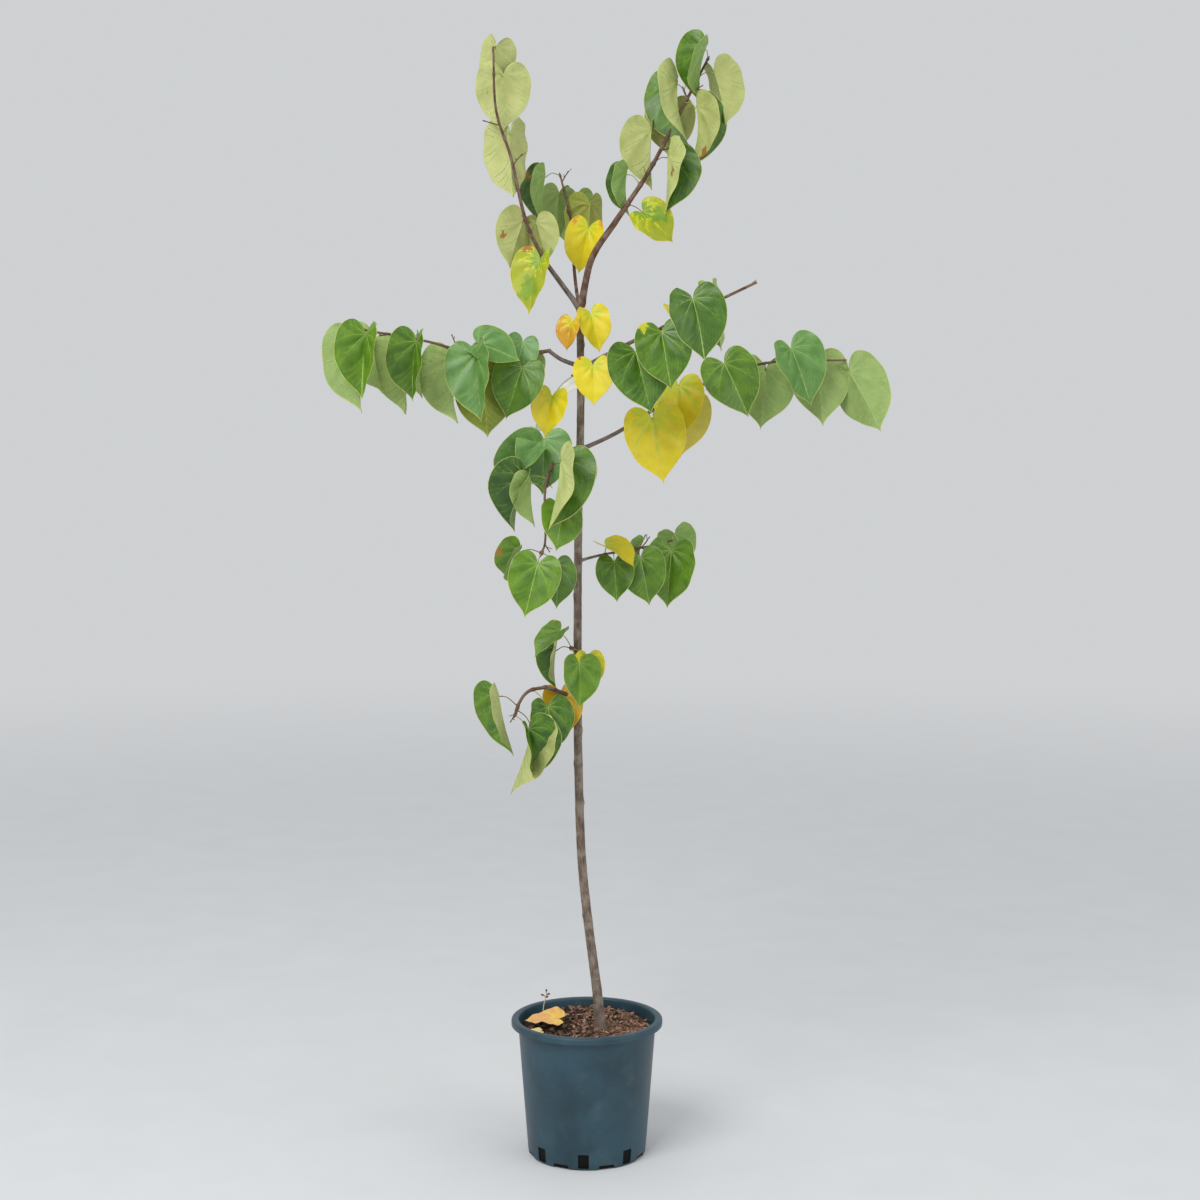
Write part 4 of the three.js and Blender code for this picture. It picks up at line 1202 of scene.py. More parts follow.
def add_stalk(shape, leaf, draw):
    """A leaf's stalk, swollen at both ends, as the source routes it."""
    start, joint = leaf["start"], leaf["joint"]
    middle = lerp(start, joint, STALK["arch_at"])
    middle[2] += STALK["arch"] * np.linalg.norm(joint - start)
    route = [start, middle, joint + leaf["axis"] * STALK["root"]]
    shares = np.linspace(0, 1, STALK_STEPS)
    radii = lerp(*STALK_RADIUS, shares)
    for size, at, length in STALK_SWELLS:
        radii = radii + size * np.exp(-(((shares - at) / length) ** 2))
    line, radii = domed(along_route(route, shares), radii)
    red = draw() < RED_SHARE and leaf["tint"] != "y"
    add_tube(shape, line, radii, SIDES, shape.slot("stalk_red" if red else "stalk_green"))


def add_bud(shape, foot, way, size=1.0):
    """A small pointed bud."""
    line = foot + np.outer(np.array(BUD["at"]) * BUD["length"] * size, way)
    radii = np.array(BUD["shape"]) * BUD["radius"] * size
    add_tube(shape, line, radii, SIDES, shape.slot("bud_red"))


def twig_from(index, count, stem, draw):
    """The ends of a side twig, as in the source."""
    at = lerp(*TWIG["span"], (index + draw()) / count)
    along = way_at(stem, at)
    away = unit(np.cross((1.0, 0.0, 0.0), along))
    away = turned_about(away, along, math.radians(index * TWIG["spring"] + between(draw, TWIG["sway"])))
    spread = math.radians(between(draw, TWIG["spread"]))
    start = point_at(stem, at)
    way = along * math.cos(spread) + away * math.sin(spread)
    return start, start + way * between(draw, TWIG["length"])


def add_twig(shape, start, end, radius, kink, sides=SIDES):
    """A short twig with a slight kink half way and a bud at its tip."""
    middle = lerp(start, end, 0.5) + kink
    shares = np.linspace(0, 1, 9)
    swell = KINK["swell"] * np.exp(-(((shares - 0.5) / KINK["length"]) ** 2))
    line = along_route([start, middle, end], shares)
    add_tube(shape, line, lerp(*radius, shares) + swell, sides, shape.slot("bark_shoot"))
    way = unit(end - middle)
    add_bud(shape, end - way * 0.4, way, radius[1] / 0.9)


def add_finer_twigs(shape, start, end, stem, reach, draw):
    """The rule carried on: twiglets from each side twig, by the same turns."""
    way = unit(end - start)
    away = unit(np.cross((0.3, 0.2, 1.0), way))
    for index, at in enumerate(FINER["at"]):
        turn = math.radians(index * TWIG["spring"] + between(draw, TWIG["sway"]))
        spread = math.radians(between(draw, FINER["spread"]))
        out = way * math.cos(spread) + turned_about(away, way, turn) * math.sin(spread)
        foot = lerp(start, end, at)
        tip = foot + out * between(draw, FINER["length"])
        if fits([tip], stem, reach):
            add_twig(shape, foot, tip, FINER["radius"], away * 0.4, 5)


def stem_radii(spray, shares, leaves):
    """The stem's taper, swollen where each stalk leaves it."""
    radii = lerp(*spray["radius"], shares)
    points = along_route(spray["stem"], shares)
    for leaf in leaves:
        apart = np.linalg.norm(points - leaf["start"], axis=1)
        radii = radii + NODE_SWELL * np.exp(-((apart / NODE_LENGTH) ** 2)) * min(radii.mean() / 2.5, 1)
    return radii


def add_stem(shape, spray, leaves, cut):
    """The spray's stem, from inside its limb's tip to its last bud or its cut end."""
    shares = even_shares(spray["stem"], SPACING["stem"])
    line = along_route(spray["stem"], shares)
    radii = stem_radii(spray, shares, leaves)[:, None]
    surface = line[:, None] + rings_along(line, STEM_SIDES) * radii[..., None]
    rough = [[noise.noise(Vector(point) * ROUGHNESS["pitch"]) for point in ring] for ring in surface]
    radii = radii * (1 + ROUGHNESS["size"] * np.array(rough))
    back = unit(line[0] - line[1])
    line = np.vstack([line[0] + back * STEM_BACK, line])
    radii = np.vstack([radii[0] * 0.9, radii])
    slot = shape.slot("bark_shoot")
    if cut:
        add_tube(shape, line, radii, STEM_SIDES, slot, shape.slot("cut_wood"))
        return
    line, radii = domed(line, radii)
    add_tube(shape, line, radii, STEM_SIDES, slot)
    way = unit(line[-1] - line[-6])
    add_bud(shape, line[-1] - way * 0.8, way, 1.1)


def axil_bud(shape, leaf, stem):
    """The bud that sits above each stalk's foot."""
    way = unit(leaf["joint"] - leaf["start"])
    rise = unit(way + np.array([0, 0, 0.9]))
    add_bud(shape, leaf["start"] + rise * stem, rise, 0.7)


CUT_SPRAYS = ("right_upper_leaves",)
FINE_SEED = 100


def make_spray(name, spray):
    """One spray: its blades and its twigs, as two pieces that stand for its mass."""
    draw = seeded(spray["seed"])
    fine = seeded(spray["seed"] + FINE_SEED)
    stem = spray["stem"]
    reach = spray["reach"]
    finishes = set()
    leaves = []
    for index, row in enumerate(spray["leaves"]):
        leaf = leaf_from(row, stem, spray["stalk"], draw)
        leaf["touches"] = TOUCHES.get((name, index), ())
        finishes |= {*leaf_finishes(row[-1]), *(touch[-1] for touch in leaf["touches"])}
        fine_leaf(leaf, fine)
        if fits(blade_samples(leaf), stem, reach):
            leaves.append(leaf)
    blades = Shape(sorted(finishes), LEAF_VALUES)
    shoots = Shape(SHOOT_FINISHES, vectors=("grain",))
    for leaf in leaves:
        add_blade(blades, leaf, leaf["touches"])
        add_stalk(shoots, leaf, fine)
        share = np.linalg.norm(leaf["start"] - np.array(stem[0])) / reach / 3
        axil_bud(shoots, leaf, lerp(*spray["radius"], min(share, 1)))
    for index in range(spray["twigs"]):
        start, end = twig_from(index, spray["twigs"], stem, draw)
        if fits([end], stem, reach):
            kink = direction(index * TWIG["spring"], 0) * 0.8
            add_twig(shoots, start, end, TWIG["radius"], kink)
            add_finer_twigs(shoots, start, end, stem, reach, fine)
    add_stem(shoots, spray, leaves, name in CUT_SPRAYS)
    keep(blades.piece(name.replace("_leaves", "_blades")), spray["slot"], name)
    keep(shoots.piece(name.replace("_leaves", "_shoots")), "grey_bark", name)


def leaf_finishes(tint):
    return (*TINTS[tint], *WEB.get(tint, ()))


# What the frame is told of each piece
def keep(piece, slot, *nodes):
    """A piece rides on the body and stands for its nodes; its slot is not used."""
    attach(piece, BODY)
    if nodes:
        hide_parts(*nodes)


# Trunk and boughs
RIDGE = {"size": 0.34, "across": 0.3, "along": 0.05}
FINE_RIDGE = {"size": 0.13, "across": 1.0, "along": 0.2}
COLLAR = {"swell": 0.3, "from": 7, "length": 9}
BELOW_COMPOST = 8
SPACING = {"trunk": 1.5, "bough": 1.3, "stem": 2.2}
TRUNK_SIDES = 44
THICK_BOUGH = 5.5
BOUGH_SIDES = (24, 32)
FULL_RELIEF = 9
KNOT_STEPS = 400
BROWN_BOUGHS = ("right_leader", "middle_twig")
# Each knot of the trunk: its height, the way it looks, how far it swells and how wide it is.
TRUNK_KNOTS = [
    (330, -70, 1.4, 6), (452, 150, 1.7, 6), (596, -120, 1.5, 6), (668, 20, 1.9, 7),
    (742, -160, 1.5, 6), (806, -40, 2.0, 7), (920, -95, 1.7, 6), (1012, 60, 1.5, 6),
    (1058, -140, 1.8, 6), (1190, -60, 1.8, 6), (1252, 130, 1.6, 6), (1382, -100, 1.9, 6),
    (1420, 60, 1.6, 6), (1518, -30, 1.7, 6), (1552, 170, 1.5, 6),
]


def bark_radii(line, radii, sides, size, knots=()):
    """A limb's radii point by point: ridges along it, finer ridges, and its knots."""
    out = np.tile(radii[:, None], (1, sides))
    for i, (radius, far) in enumerate(zip(radii, lengths_along(line))):
        for k, turn in enumerate(full_turn(sides)):
            x = math.cos(turn) * radius
            y = math.sin(turn) * radius
            for ridge in (RIDGE, FINE_RIDGE):
                place = (x * ridge["across"], y * ridge["across"], far * ridge["along"])
                out[i, k] += noise.noise(Vector(place)) * ridge["size"] * size
    surface = line[:, None] + rings_along(line, sides) * radii[:, None, None]
    for centre, swell, spread in knots:
        apart = np.linalg.norm(surface - centre, axis=-1)
        out += swell * np.exp(-((apart / spread) ** 2))
    return out


def trunk_knots():
    """The knots left by old shoots, and the swellings where the boughs leave."""
    knots = []
    shares = np.linspace(0, 1, KNOT_STEPS)
    line = along_route(TRUNK["route"], shares)
    radii = trunk_radii(line, shares)
    for height, turn, swell, spread in TRUNK_KNOTS:
        i = int(np.argmin(np.abs(line[:, 2] - height)))
        knots.append((line[i] + direction(turn, 0) * radii[i], swell, spread))
    for limb in LIMBS.values():
        start = np.array(limb["route"][0])
        out = unit(limb["route"][1] - start) * COLLAR["from"]
        knots.append((start + out, limb["radius"][0] * COLLAR["swell"], COLLAR["length"]))
    return knots


def make_limb(name, node, finish, line, radii):
    """A limb's bark as a piece of its own."""
    shape = Shape([finish], vectors=("grain",))
    add_tube(shape, line, radii, radii.shape[1], 0)
    keep(shape.piece(name), "grey_bark", node)


def make_trunk():
    """The trunk, from inside the compost to where the leaders take over."""
    shares = even_shares(TRUNK["route"], SPACING["trunk"])
    line = along_route(TRUNK["route"], shares)
    radii = trunk_radii(line, shares)
    foot = unit(line[0] - line[1]) * BELOW_COMPOST
    line = np.vstack([line[0] + foot, line])
    radii = np.concatenate([radii[:1] * 1.05, radii])
    line, radii = domed(line, bark_radii(line, radii, TRUNK_SIDES, 1.0, trunk_knots()))
    make_limb("trunk_bark", "trunk", "bark_trunk", line, radii)


def make_bough(name, limb):
    """One bough from inside what carries it, thicker at its collar, to its rounded tip."""
    thickest = limb["radius"][0]
    shares = even_shares(limb["route"], SPACING["bough"])
    line = along_route(limb["route"], shares)
    beyond = np.maximum(np.linalg.norm(line - line[0], axis=1) - COLLAR["from"], 0)
    collar = 1 + COLLAR["swell"] * np.exp(-beyond / COLLAR["length"])
    sides = BOUGH_SIDES[thickest >= THICK_BOUGH]
    radii = lerp(*limb["radius"], shares) * collar
    radii = bark_radii(line, radii, sides, thickest / FULL_RELIEF)
    for _ in ("foot", "tip"):
        line, radii = domed(line[::-1], radii[::-1])
    finish = "bark_brown" if name in BROWN_BOUGHS else "bark_grey"
    make_limb(name + "_bark", name, finish, line, radii)


# Pot
POT_SEGMENTS = 180
FOOT_ROUND = 5
NECK_ROUND = 3
UNDER_LIP = 2.2
LIP_ROUND = 4.5
MOUTH_ROUND = 3.5
WALL_STEPS = (28, 26)
# How far in the underside's rings lie, and how far below the rim the lip's two inner bends are
UNDERSIDE = (14, 9)
NECK_BEND = 6.2
ROLL_BEND = 5.4


def wall_radius(z):
    return lerp(POT["base_radius"], POT["neck_radius"], z / (POT["height"] - POT["lip_height"]))


def arc(centre, radius, start, end, steps):
    """Points of an arc in a profile, in degrees, as radius and height."""
    angles = np.radians(np.linspace(start, end, steps))
    return [(centre[0] + radius * math.cos(a), centre[1] + radius * math.sin(a)) for a in angles]


def pot_profile():
    """The pot's section, once round: foot, wall, a lip rolled out and down, and the inside."""
    base, wall, height = POT["base_radius"], POT["wall"], POT["height"]
    foot = height - POT["lip_height"]
    outer = POT["lip_radius"]
    neck = wall_radius(height - 6)
    inner = wall_radius(height) - wall
    profile = [(0, 0), (base * 0.5, 0), *((base - rim, 0) for rim in UNDERSIDE)]
    profile += arc((base - FOOT_ROUND, FOOT_ROUND), FOOT_ROUND, -80, -3, 6)
    profile += [(wall_radius(z), z) for z in np.linspace(9, foot - 6, WALL_STEPS[0])]
    profile += [(wall_radius(foot - 3), foot - 3), (wall_radius(foot), foot), (neck, height - 6.5)]
    profile += arc((neck + NECK_ROUND, height - NECK_BEND), NECK_ROUND, 180, 90, 5)
    profile += arc((outer - wall - UNDER_LIP, height - ROLL_BEND), UNDER_LIP, 90, 0, 5)
    profile += [(outer - wall, foot + 1)]
    profile += arc((outer - wall / 2, foot + wall / 2), wall / 2, 180, 360, 7)
    profile += [(outer, height - 6)]
    profile += arc((outer - LIP_ROUND, height - LIP_ROUND), LIP_ROUND, 8, 82, 6)
    profile += arc((inner + MOUTH_ROUND, height - MOUTH_ROUND), MOUTH_ROUND, 98, 172, 6)
    rows = np.linspace(height - 8, POT["floor"] + 2, WALL_STEPS[1])
    profile += [(wall_radius(z) - wall, z) for z in rows]
    return profile + [(wall_radius(POT["floor"]) - wall - 2, POT["floor"]), (0, POT["floor"])]


def turned_shape(shape, profile, segments):
    """Turns a profile that starts and ends on the axis round it, as one closed body."""
    profile = np.array(profile, float)
    out, high = profile[1:-1].T
    turns = full_turn(segments)[:, None]
    radius = out + oval(turns, high)
    points = np.stack([radius * np.cos(turns), radius * np.sin(turns), radius * 0 + high], axis=-1)
    ends = [[0, 0, profile[0, 1]], [0, 0, profile[-1, 1]]]
    count = len(high)
    total = segments * count
    first = np.arange(segments) * count
    wall = grid_quads(segments, count, closed_rows=True)[:, FLIPPED]
    foot = fan(total, first, flipped=True)
    head = fan(total + 1, first + count - 1)
    shape.add(np.vstack([points.reshape(-1, 3), *ends]), [wall, foot, head], [0, 0, 0])


def box_cutter(corners, near, far, turn):
    """A prism with an outline in x and z, run from one y to another and turned about the axis."""
    corners = np.array(corners, float)
    count = len(corners)
    points = np.concatenate([np.insert(corners, 1, y, axis=1) for y in (near, far)])
    cos, sin = math.cos(math.radians(turn)), math.sin(math.radians(turn))
    spin = np.array([[cos, sin, 0], [-sin, cos, 0], [0, 0, 1]])
    side = np.arange(count)
    holder = Shape(["pot_plastic"])
    faces = [band(side, side + count)[:, ::-1], [side[::-1]], [side + count]]
    holder.add(points @ spin, faces, [0, 0, 0])
    return holder.piece("cutter")


def rounded_box(low, high, width_low, width_high, rounding):
    """An upright outline with rounded corners, from its foot's width to its head's."""
    outline = []
    for x, z, start in (
        (width_low / 2, low, -90), (width_high / 2, high, 0),
        (-width_high / 2, high, 90), (-width_low / 2, low, 180),
    ):
        centre = (x - math.copysign(rounding, x), z + (rounding if z == low else -rounding))
        outline += arc(centre, rounding, start, start + 90, 4)
    return outline


CUT = {"beyond": 4, "below": 3, "rounding": 1.2}


def slot_cutters():
    """The cutters of the drainage slots and of the notches between them."""
    made = []
    slot = rounded_box(SLOT["bottom"], SLOT["top"], SLOT["width"], SLOT["width"], CUT["rounding"])
    widths = (NOTCH["width"], NOTCH["top_width"])
    notch = rounded_box(-CUT["below"], NOTCH["height"], *widths, CUT["rounding"])
    near = -wall_radius(SLOT["top"]) - CUT["beyond"]
    foot = -POT["base_radius"]
    for i in range(SLOT["count"]):
        turn = SLOT["turn"] + 360 / SLOT["count"] * i
        made.append(box_cutter(slot, near, near + SLOT["depth"], turn))
        turn += 180 / SLOT["count"]
        made.append(box_cutter(notch, foot - CUT["beyond"], foot + NOTCH["depth"], turn))
    return made


def evaluated_mesh(piece):
    """A piece's mesh, with its live modifiers put into it."""
    graph = bpy.context.evaluated_depsgraph_get()
    return bpy.data.meshes.new_from_object(piece.evaluated_get(graph))


OVAL = {"size": 0.25, "turn": 0.6}
SHARP_EDGE = math.radians(38)


def oval(turns, z):
    """How far the moulded wall is out of round, more towards its mouth."""
    return OVAL["size"] * np.sin(2 * turns + OVAL["turn"]) * z / POT["height"]


def make_pot():
    """The moulded pot, with its drainage cut through."""
    shape = Shape(["pot_plastic"])
    turned_shape(shape, pot_profile(), POT_SEGMENTS)
    pot = shape.piece("pot_body")
    cutters = slot_cutters()
    for cutter in cutters:
        cut = pot.modifiers.new("cut", "BOOLEAN")
        cut.operation = "DIFFERENCE"
        cut.solver = "EXACT"
        cut.object = cutter
    mesh = evaluated_mesh(pot)
    pot.modifiers.clear()
    pot.data = mesh
    for cutter in cutters:
        bpy.data.objects.remove(cutter)
    mesh.set_sharp_from_angle(angle=SHARP_EDGE)
    keep(pot, "teal_plastic", "pot")


# Compost and what lies on it
def compost_height(x, y):
    """The compost's top at a place, with the source's lumps and finer ones."""
    share = np.minimum(np.hypot(x, y) / wall_radius(COMPOST["edge"]), 1)
    pitch = COMPOST["lump_pitch"]
    lumps = np.sin(x / pitch + 1) * np.cos(y / pitch)
    back = (1 + y / wall_radius(COMPOST["edge"])) / 2
    dome = (COMPOST["dome"] + COMPOST["lump"] * lumps) * (1 - share * share)
    return COMPOST["edge"] + COMPOST["heap"] * back * back + dome


CRUMBS = ((2.2, 0.11), (1.32, 0.37))


def crumbled(points):
    """Crumbs added to a surface's heights, by noise of two sizes and pitches."""
    for point in points:
        place = Vector(point)
        point[2] += sum(size * noise.noise(place * pitch) for size, pitch in CRUMBS)
    return points


COMPOST_RINGS = 84
COMPOST_DEPTHS = (200, 150, 100, 60, 30, POT["floor"] + COMPOST["gap"])
COMPOST_SEGMENTS = 200


def inside(z):
    """The compost's radius at a height, clear of the pot's wall."""
    return wall_radius(z) - POT["wall"] - COMPOST["gap"]


def compost_top():
    """The lumpy top as rings of points, from the middle out."""
    turns = full_turn(COMPOST_SEGMENTS)
    shares = np.arange(1, COMPOST_RINGS + 1) / COMPOST_RINGS
    x = np.outer(shares, np.cos(turns)) * inside(COMPOST["edge"])
    y = np.outer(shares, np.sin(turns)) * inside(COMPOST["edge"])
    points = np.stack([x, y, compost_height(x, y)], axis=-1).reshape(-1, 3)
    middle = np.array([[0, 0, compost_height(0, 0)]], float)
    return np.vstack([crumbled(points), crumbled(middle)])


BED = {
    "reddens_over": 110, "red_middle": 0.5, "least_red": 0.12, "least_dark": 0.15,
    "dark_at": (-25, -40), "dark_size": (38, 60), "bare_edge": 9,
}


def make_compost():
    """The compost as one closed body, and an open copy of its top to strew chips over."""
    top = compost_top()
    count = COMPOST_SEGMENTS
    ring = np.arange(count)
    turns = full_turn(count)
    sides = []
    for z in COMPOST_DEPTHS:
        x, y = np.cos(turns) * inside(z), np.sin(turns) * inside(z)
        sides.append(np.stack([x, y, turns * 0 + z], -1))
    points = np.vstack([top, *sides, [[0, 0, COMPOST_DEPTHS[-1]]]])
    surface = grid_quads(COMPOST_RINGS, count, closed_columns=True)[:, FLIPPED]
    cap = fan(len(top) - 1, ring)
    starts = [(COMPOST_RINGS - 1) * count]
    starts += [len(top) + i * count for i in range(len(sides))]
    walls = [band(high + ring, low + ring)[:, FLIPPED] for high, low in zip(starts, starts[1:])]
    foot = fan(len(points) - 1, starts[-1] + ring, flipped=True)
    # The compost's sides and foot take the near-black finish, painted shade for the dark inside of the
    # pot behind its slots.
    shape = Shape(["soil", "soil_sides"])
    shape.add(points, [surface, cap, np.concatenate(walls), foot], [0, 0, 1, 1])
    keep(shape.piece("compost_body"), "bark_compost", "compost")
    bed = Shape(["soil"], ("red_share", "dark_share"))
    x, y = top[:, 0], top[:, 1]
    red = np.clip(BED["red_middle"] + x / BED["reddens_over"], BED["least_red"], 1)
    off = (top[:, :2] - BED["dark_at"]) / BED["dark_size"]
    dark = BED["least_dark"] + np.exp(-(off**2).sum(axis=1))
    clear = np.hypot(x, y) < wall_radius(COMPOST["edge"]) - BED["bare_edge"]
    bed.add(top, [surface, cap], [0, 0], red_share=red * clear, dark_share=dark * clear)
    return bed.piece("bed")


SCATTER_INPUTS = (
    ("Surface", "Geometry"), ("Chip", "Object"), ("Share", "String"), ("Density", "Float"),
    ("Smallest", "Float"), ("Largest", "Float"), ("Tilt", "Float"), ("Seed", "Int"),
    ("Finish", "Material"),
)


def scatter_tree(name):
    """A tree that strews copies of a small shape over a surface."""
    ends = (SCATTER_INPUTS, [("Strewn", "Geometry")])
    tree, start, end = new_tree(name, "GeometryNodeTree", *ends)
    share = add_node(tree, "GeometryNodeInputNamedAttribute", data_type="FLOAT")
    density = add_node(tree, "ShaderNodeMath", operation="MULTIPLY")
    points = add_node(tree, "GeometryNodeDistributePointsOnFaces")
    chip = add_node(tree, "GeometryNodeObjectInfo")
    size = add_node(tree, "FunctionNodeRandomValue", data_type="FLOAT")
    back = add_node(tree, "ShaderNodeMath", {0: 0.0}, operation="SUBTRACT")
    low = add_node(tree, "ShaderNodeCombineXYZ", {"Z": 0.0})
    high = add_node(tree, "ShaderNodeCombineXYZ", {"Z": 2 * math.pi})
    turn = add_node(tree, "FunctionNodeRandomValue", data_type="FLOAT_VECTOR")
    turned = add_node(tree, "FunctionNodeEulerToRotation")
    lie = add_node(tree, "FunctionNodeRotateRotation", rotation_space="LOCAL")
    place = add_node(tree, "GeometryNodeInstanceOnPoints")
    real = add_node(tree, "GeometryNodeRealizeInstances")
    dress = add_node(tree, "GeometryNodeSetMaterial")
    for axis in ("X", "Y"):
        wire(tree, (back, 0, low, axis), (start, "Tilt", high, axis))
    for seeded_node in (points, size, turn):
        wire(tree, (start, "Seed", seeded_node, "Seed"))
    wire(
        tree, (start, "Share", share, "Name"), (share, "Attribute", density, 0),
        (start, "Density", density, 1), (start, "Surface", points, "Mesh"),
        (density, 0, points, "Density"), (start, "Chip", chip, "Object"),
        (start, "Smallest", size, 2), (start, "Largest", size, 3), (start, "Tilt", back, 1),
        (low, "Vector", turn, 0), (high, "Vector", turn, 1), (turn, 0, turned, 0),
        (points, "Rotation", lie, "Rotation"), (turned, 0, lie, "Rotate By"),
        (points, "Points", place, "Points"), (chip, "Geometry", place, "Instance"),
        (lie, 0, place, "Rotation"), (size, 1, place, "Scale"),
        (place, "Instances", real, "Geometry"), (real, "Geometry", dress, "Geometry"),
        (start, "Finish", dress, "Material"), (dress, "Geometry", end, "Strewn"),
    )
    return tree


def strewn(surface, tree, name, smooth, **values):
    """A plain mesh of what the tree strews over a surface."""
    strew = surface.modifiers.new("strew", "NODES")
    strew.node_group = tree
    for socket in tree.interface.items_tree:
        if socket.in_out == "INPUT" and socket.name in values:
            strew[socket.identifier] = values[socket.name]
    mesh = evaluated_mesh(surface)
    surface.modifiers.remove(strew)
    if smooth:
        mesh.shade_smooth()
    else:
        mesh.shade_flat()
    mesh.name = name
    return put(name, mesh)


CHIP_CELLS = (3, 2)


def chip_source(name, length, width, depth, bow, seed):
    """One chip, a ragged slab a few cells long, in millimetres about its middle."""
    draw = seeded(seed)
    down, across = CHIP_CELLS
    points = []
    for level in (1, -1):
        for i in range(down + 1):
            for j in range(across + 1):
                ragged = [(draw() - 0.5) * 0.3 for _ in range(3)]
                x = (i / down - 0.5 + ragged[0] / down) * length
                y = (j / across - 0.5 + ragged[1] / across) * width
                z = level * depth / 2 * (1 + ragged[2]) + bow * (1 - (2 * x / length) ** 2)
                points.append((x, y, z))
    holder = Shape(["chip_brown"])
    holder.add(np.array(points), slab_faces(down + 1, across + 1), [0, 0, 0])
    return holder.piece(name)


CHIP_LAYERS = [
    # name, finish, slab (length, width, depth, bow), density, scale, tilt, share, seed
    ("crumbs", "chip_dark", (5, 3.5, 2.4, 0.2), 30000, (0.5, 1.3), 1.2, "dark_share", 5),
    ("brown_chips", "chip_brown", (13, 6.5, 2.2, 0.9), 8500, (0.45, 1.3), 0.55, "red_share", 1),
    ("brown_slivers", "chip_brown", (18, 4, 1.8, 1.2), 4800, (0.5, 1.2), 0.6, "red_share", 6),
    ("red_chips", "chip_red", (16, 7.5, 2.4, 1.2), 7000, (0.45, 1.25), 0.55, "red_share", 2),
    ("red_slivers", "chip_red", (22, 5, 2, 1.4), 3400, (0.5, 1.15), 0.6, "red_share", 7),
    ("left_chips", "chip_brown", (11, 5, 2, 0.7), 9000, (0.5, 1.2), 0.6, "dark_share", 3),
    ("pale_splinters", "chip_pale", (16, 2.6, 1.3, 0.8), 5200, (0.5, 1.2), 0.5, "red_share", 4),
    ("pale_chips", "chip_pale", (12, 7, 2, 1), 3000, (0.45, 1.1), 0.5, "red_share", 9),
]


def strew_chips(bed, tree):
    """The compost's bark chips, crumbs and splinters, a layer for each kind."""
    for name, finish, slab, density, scale, tilt, share, seed in CHIP_LAYERS:
        chip = chip_source("chip", *slab, seed)
        made = strewn(
            bed, tree, name, False,
            Chip=chip, Share=share, Density=float(density), Smallest=scale[0], Largest=scale[1],
            Tilt=tilt, Seed=seed, Finish=bpy.data.materials[finish],
        )
        bpy.data.objects.remove(chip)
        keep(made, "bark_compost")
    bpy.data.objects.remove(bed)


LENTICEL = {"density": 9000.0, "smallest": 0.5, "largest": 1.15, "tilt": 0.2, "seed": 8}
PORE_HEIGHTS = (-0.3, -0.12, 0.12, 0.28, 0.36)
PORE_RADII = (0.5, 0.75, 0.7, 0.45, 0.15)


def strew_lenticels(tree):
    """The small pale pores raised on the trunk's bark."""
    trunk = bpy.data.objects["trunk_bark"]
    source = Shape(["lenticel"])
    line = np.array([(0, 0, z) for z in PORE_HEIGHTS], float)
    add_tube(source, line, PORE_RADII, SIDES, 0)
    pore = source.piece("pore")
    surface = trunk.copy()
    surface.data = trunk.data.copy()
    layer = surface.data.attributes.new("pore_share", "FLOAT", "POINT")
    layer.data.foreach_set("value", np.ones(len(surface.data.vertices)))
    bpy.context.collection.objects.link(surface)
    made = strewn(
        surface, tree, "trunk_lenticels", True,
        Chip=pore, Share="pore_share", Density=LENTICEL["density"], Smallest=LENTICEL["smallest"],
        Largest=LENTICEL["largest"], Tilt=LENTICEL["tilt"], Seed=LENTICEL["seed"],
        Finish=bpy.data.materials["lenticel"],
    )
    bpy.data.objects.remove(pore)
    bpy.data.objects.remove(surface)
    keep(made, "grey_bark")


FALLEN = (
    # joint, facing, lean, hang, length, form (cup, bend, ripple), tint
    ((-56, 10, 251), -90, 97, 11, 64, (0.5, 0.2, 0.12), "dry"),
    ((-88, -36, 241), -90, 80, 2, 30, (0.3, 0.3, 0.04), "tan"),
)


LYING = {"fold": math.radians(3), "ripples": 7.0, "phase": 1.0}
FALLEN_SEED = 31


def make_fallen_leaves():
    """A dried leaf propped on the compost, and a small tan one lying flat."""
    shape = Shape(sorted({*leaf_finishes("dry"), *leaf_finishes("tan")}), LEAF_VALUES)
    draw = seeded(FALLEN_SEED)
    for joint, facing, lean, hang, length, form, tint in FALLEN:
        leaf = leaf_placed(np.array(joint, float), facing, lean, hang, length)
        leaf.update(zip(("cup", "bend", "ripple"), form))
        leaf.update(LYING, tint=tint)
        fine_leaf(leaf, draw)
        add_blade(shape, leaf)
    keep(shape.piece("fallen_leaves"), "yellow_leaf")


SEEDLING = {
    "route": [(-84, 56, 240), (-84, 60, 258), (-81, 64, 272), (-78, 66, 284)],
    "radius": (1.3, 0.8),
    "steps": 24,
    "pods_at": (0.72, 0.82, 0.9, 0.97),
    "pod_turn": 40,
    "pod_rise": 25,
    "pod_radii": (0.7, 0.7, 0.7, 1.0, 1.6, 2.0, 1.7, 1.0, 0.3),
}


def make_seedling():
    """A thin dried seedling behind the fallen leaf."""
    shape = Shape(["cut_wood", "chip_brown"], vectors=("grain",))
    route = SEEDLING["route"]
    shares = np.linspace(0, 1, SEEDLING["steps"])
    add_tube(shape, along_route(route, shares), lerp(*SEEDLING["radius"], shares), SIDES, 0)
    for index, share in enumerate(SEEDLING["pods_at"]):
        foot = point_at(route, share)
        way = direction(SEEDLING["pod_turn"] + index * TWIG["spring"], SEEDLING["pod_rise"])
        tip = foot + way * (9 + 2 * index)
        middle = lerp(foot, tip, 0.5) + np.array([0, 0, 1.5])
        line = along_route([foot, middle, tip], np.linspace(0, 1, len(SEEDLING["pod_radii"])))
        add_tube(shape, line, SEEDLING["pod_radii"], 6, 1)
    keep(shape.piece("dried_seedling"), "bark_compost")


# Label
STRIP = {"thickness": 0.4, "steps": 150, "columns": 9, "crown": 0.5, "narrowest": 0.0025}


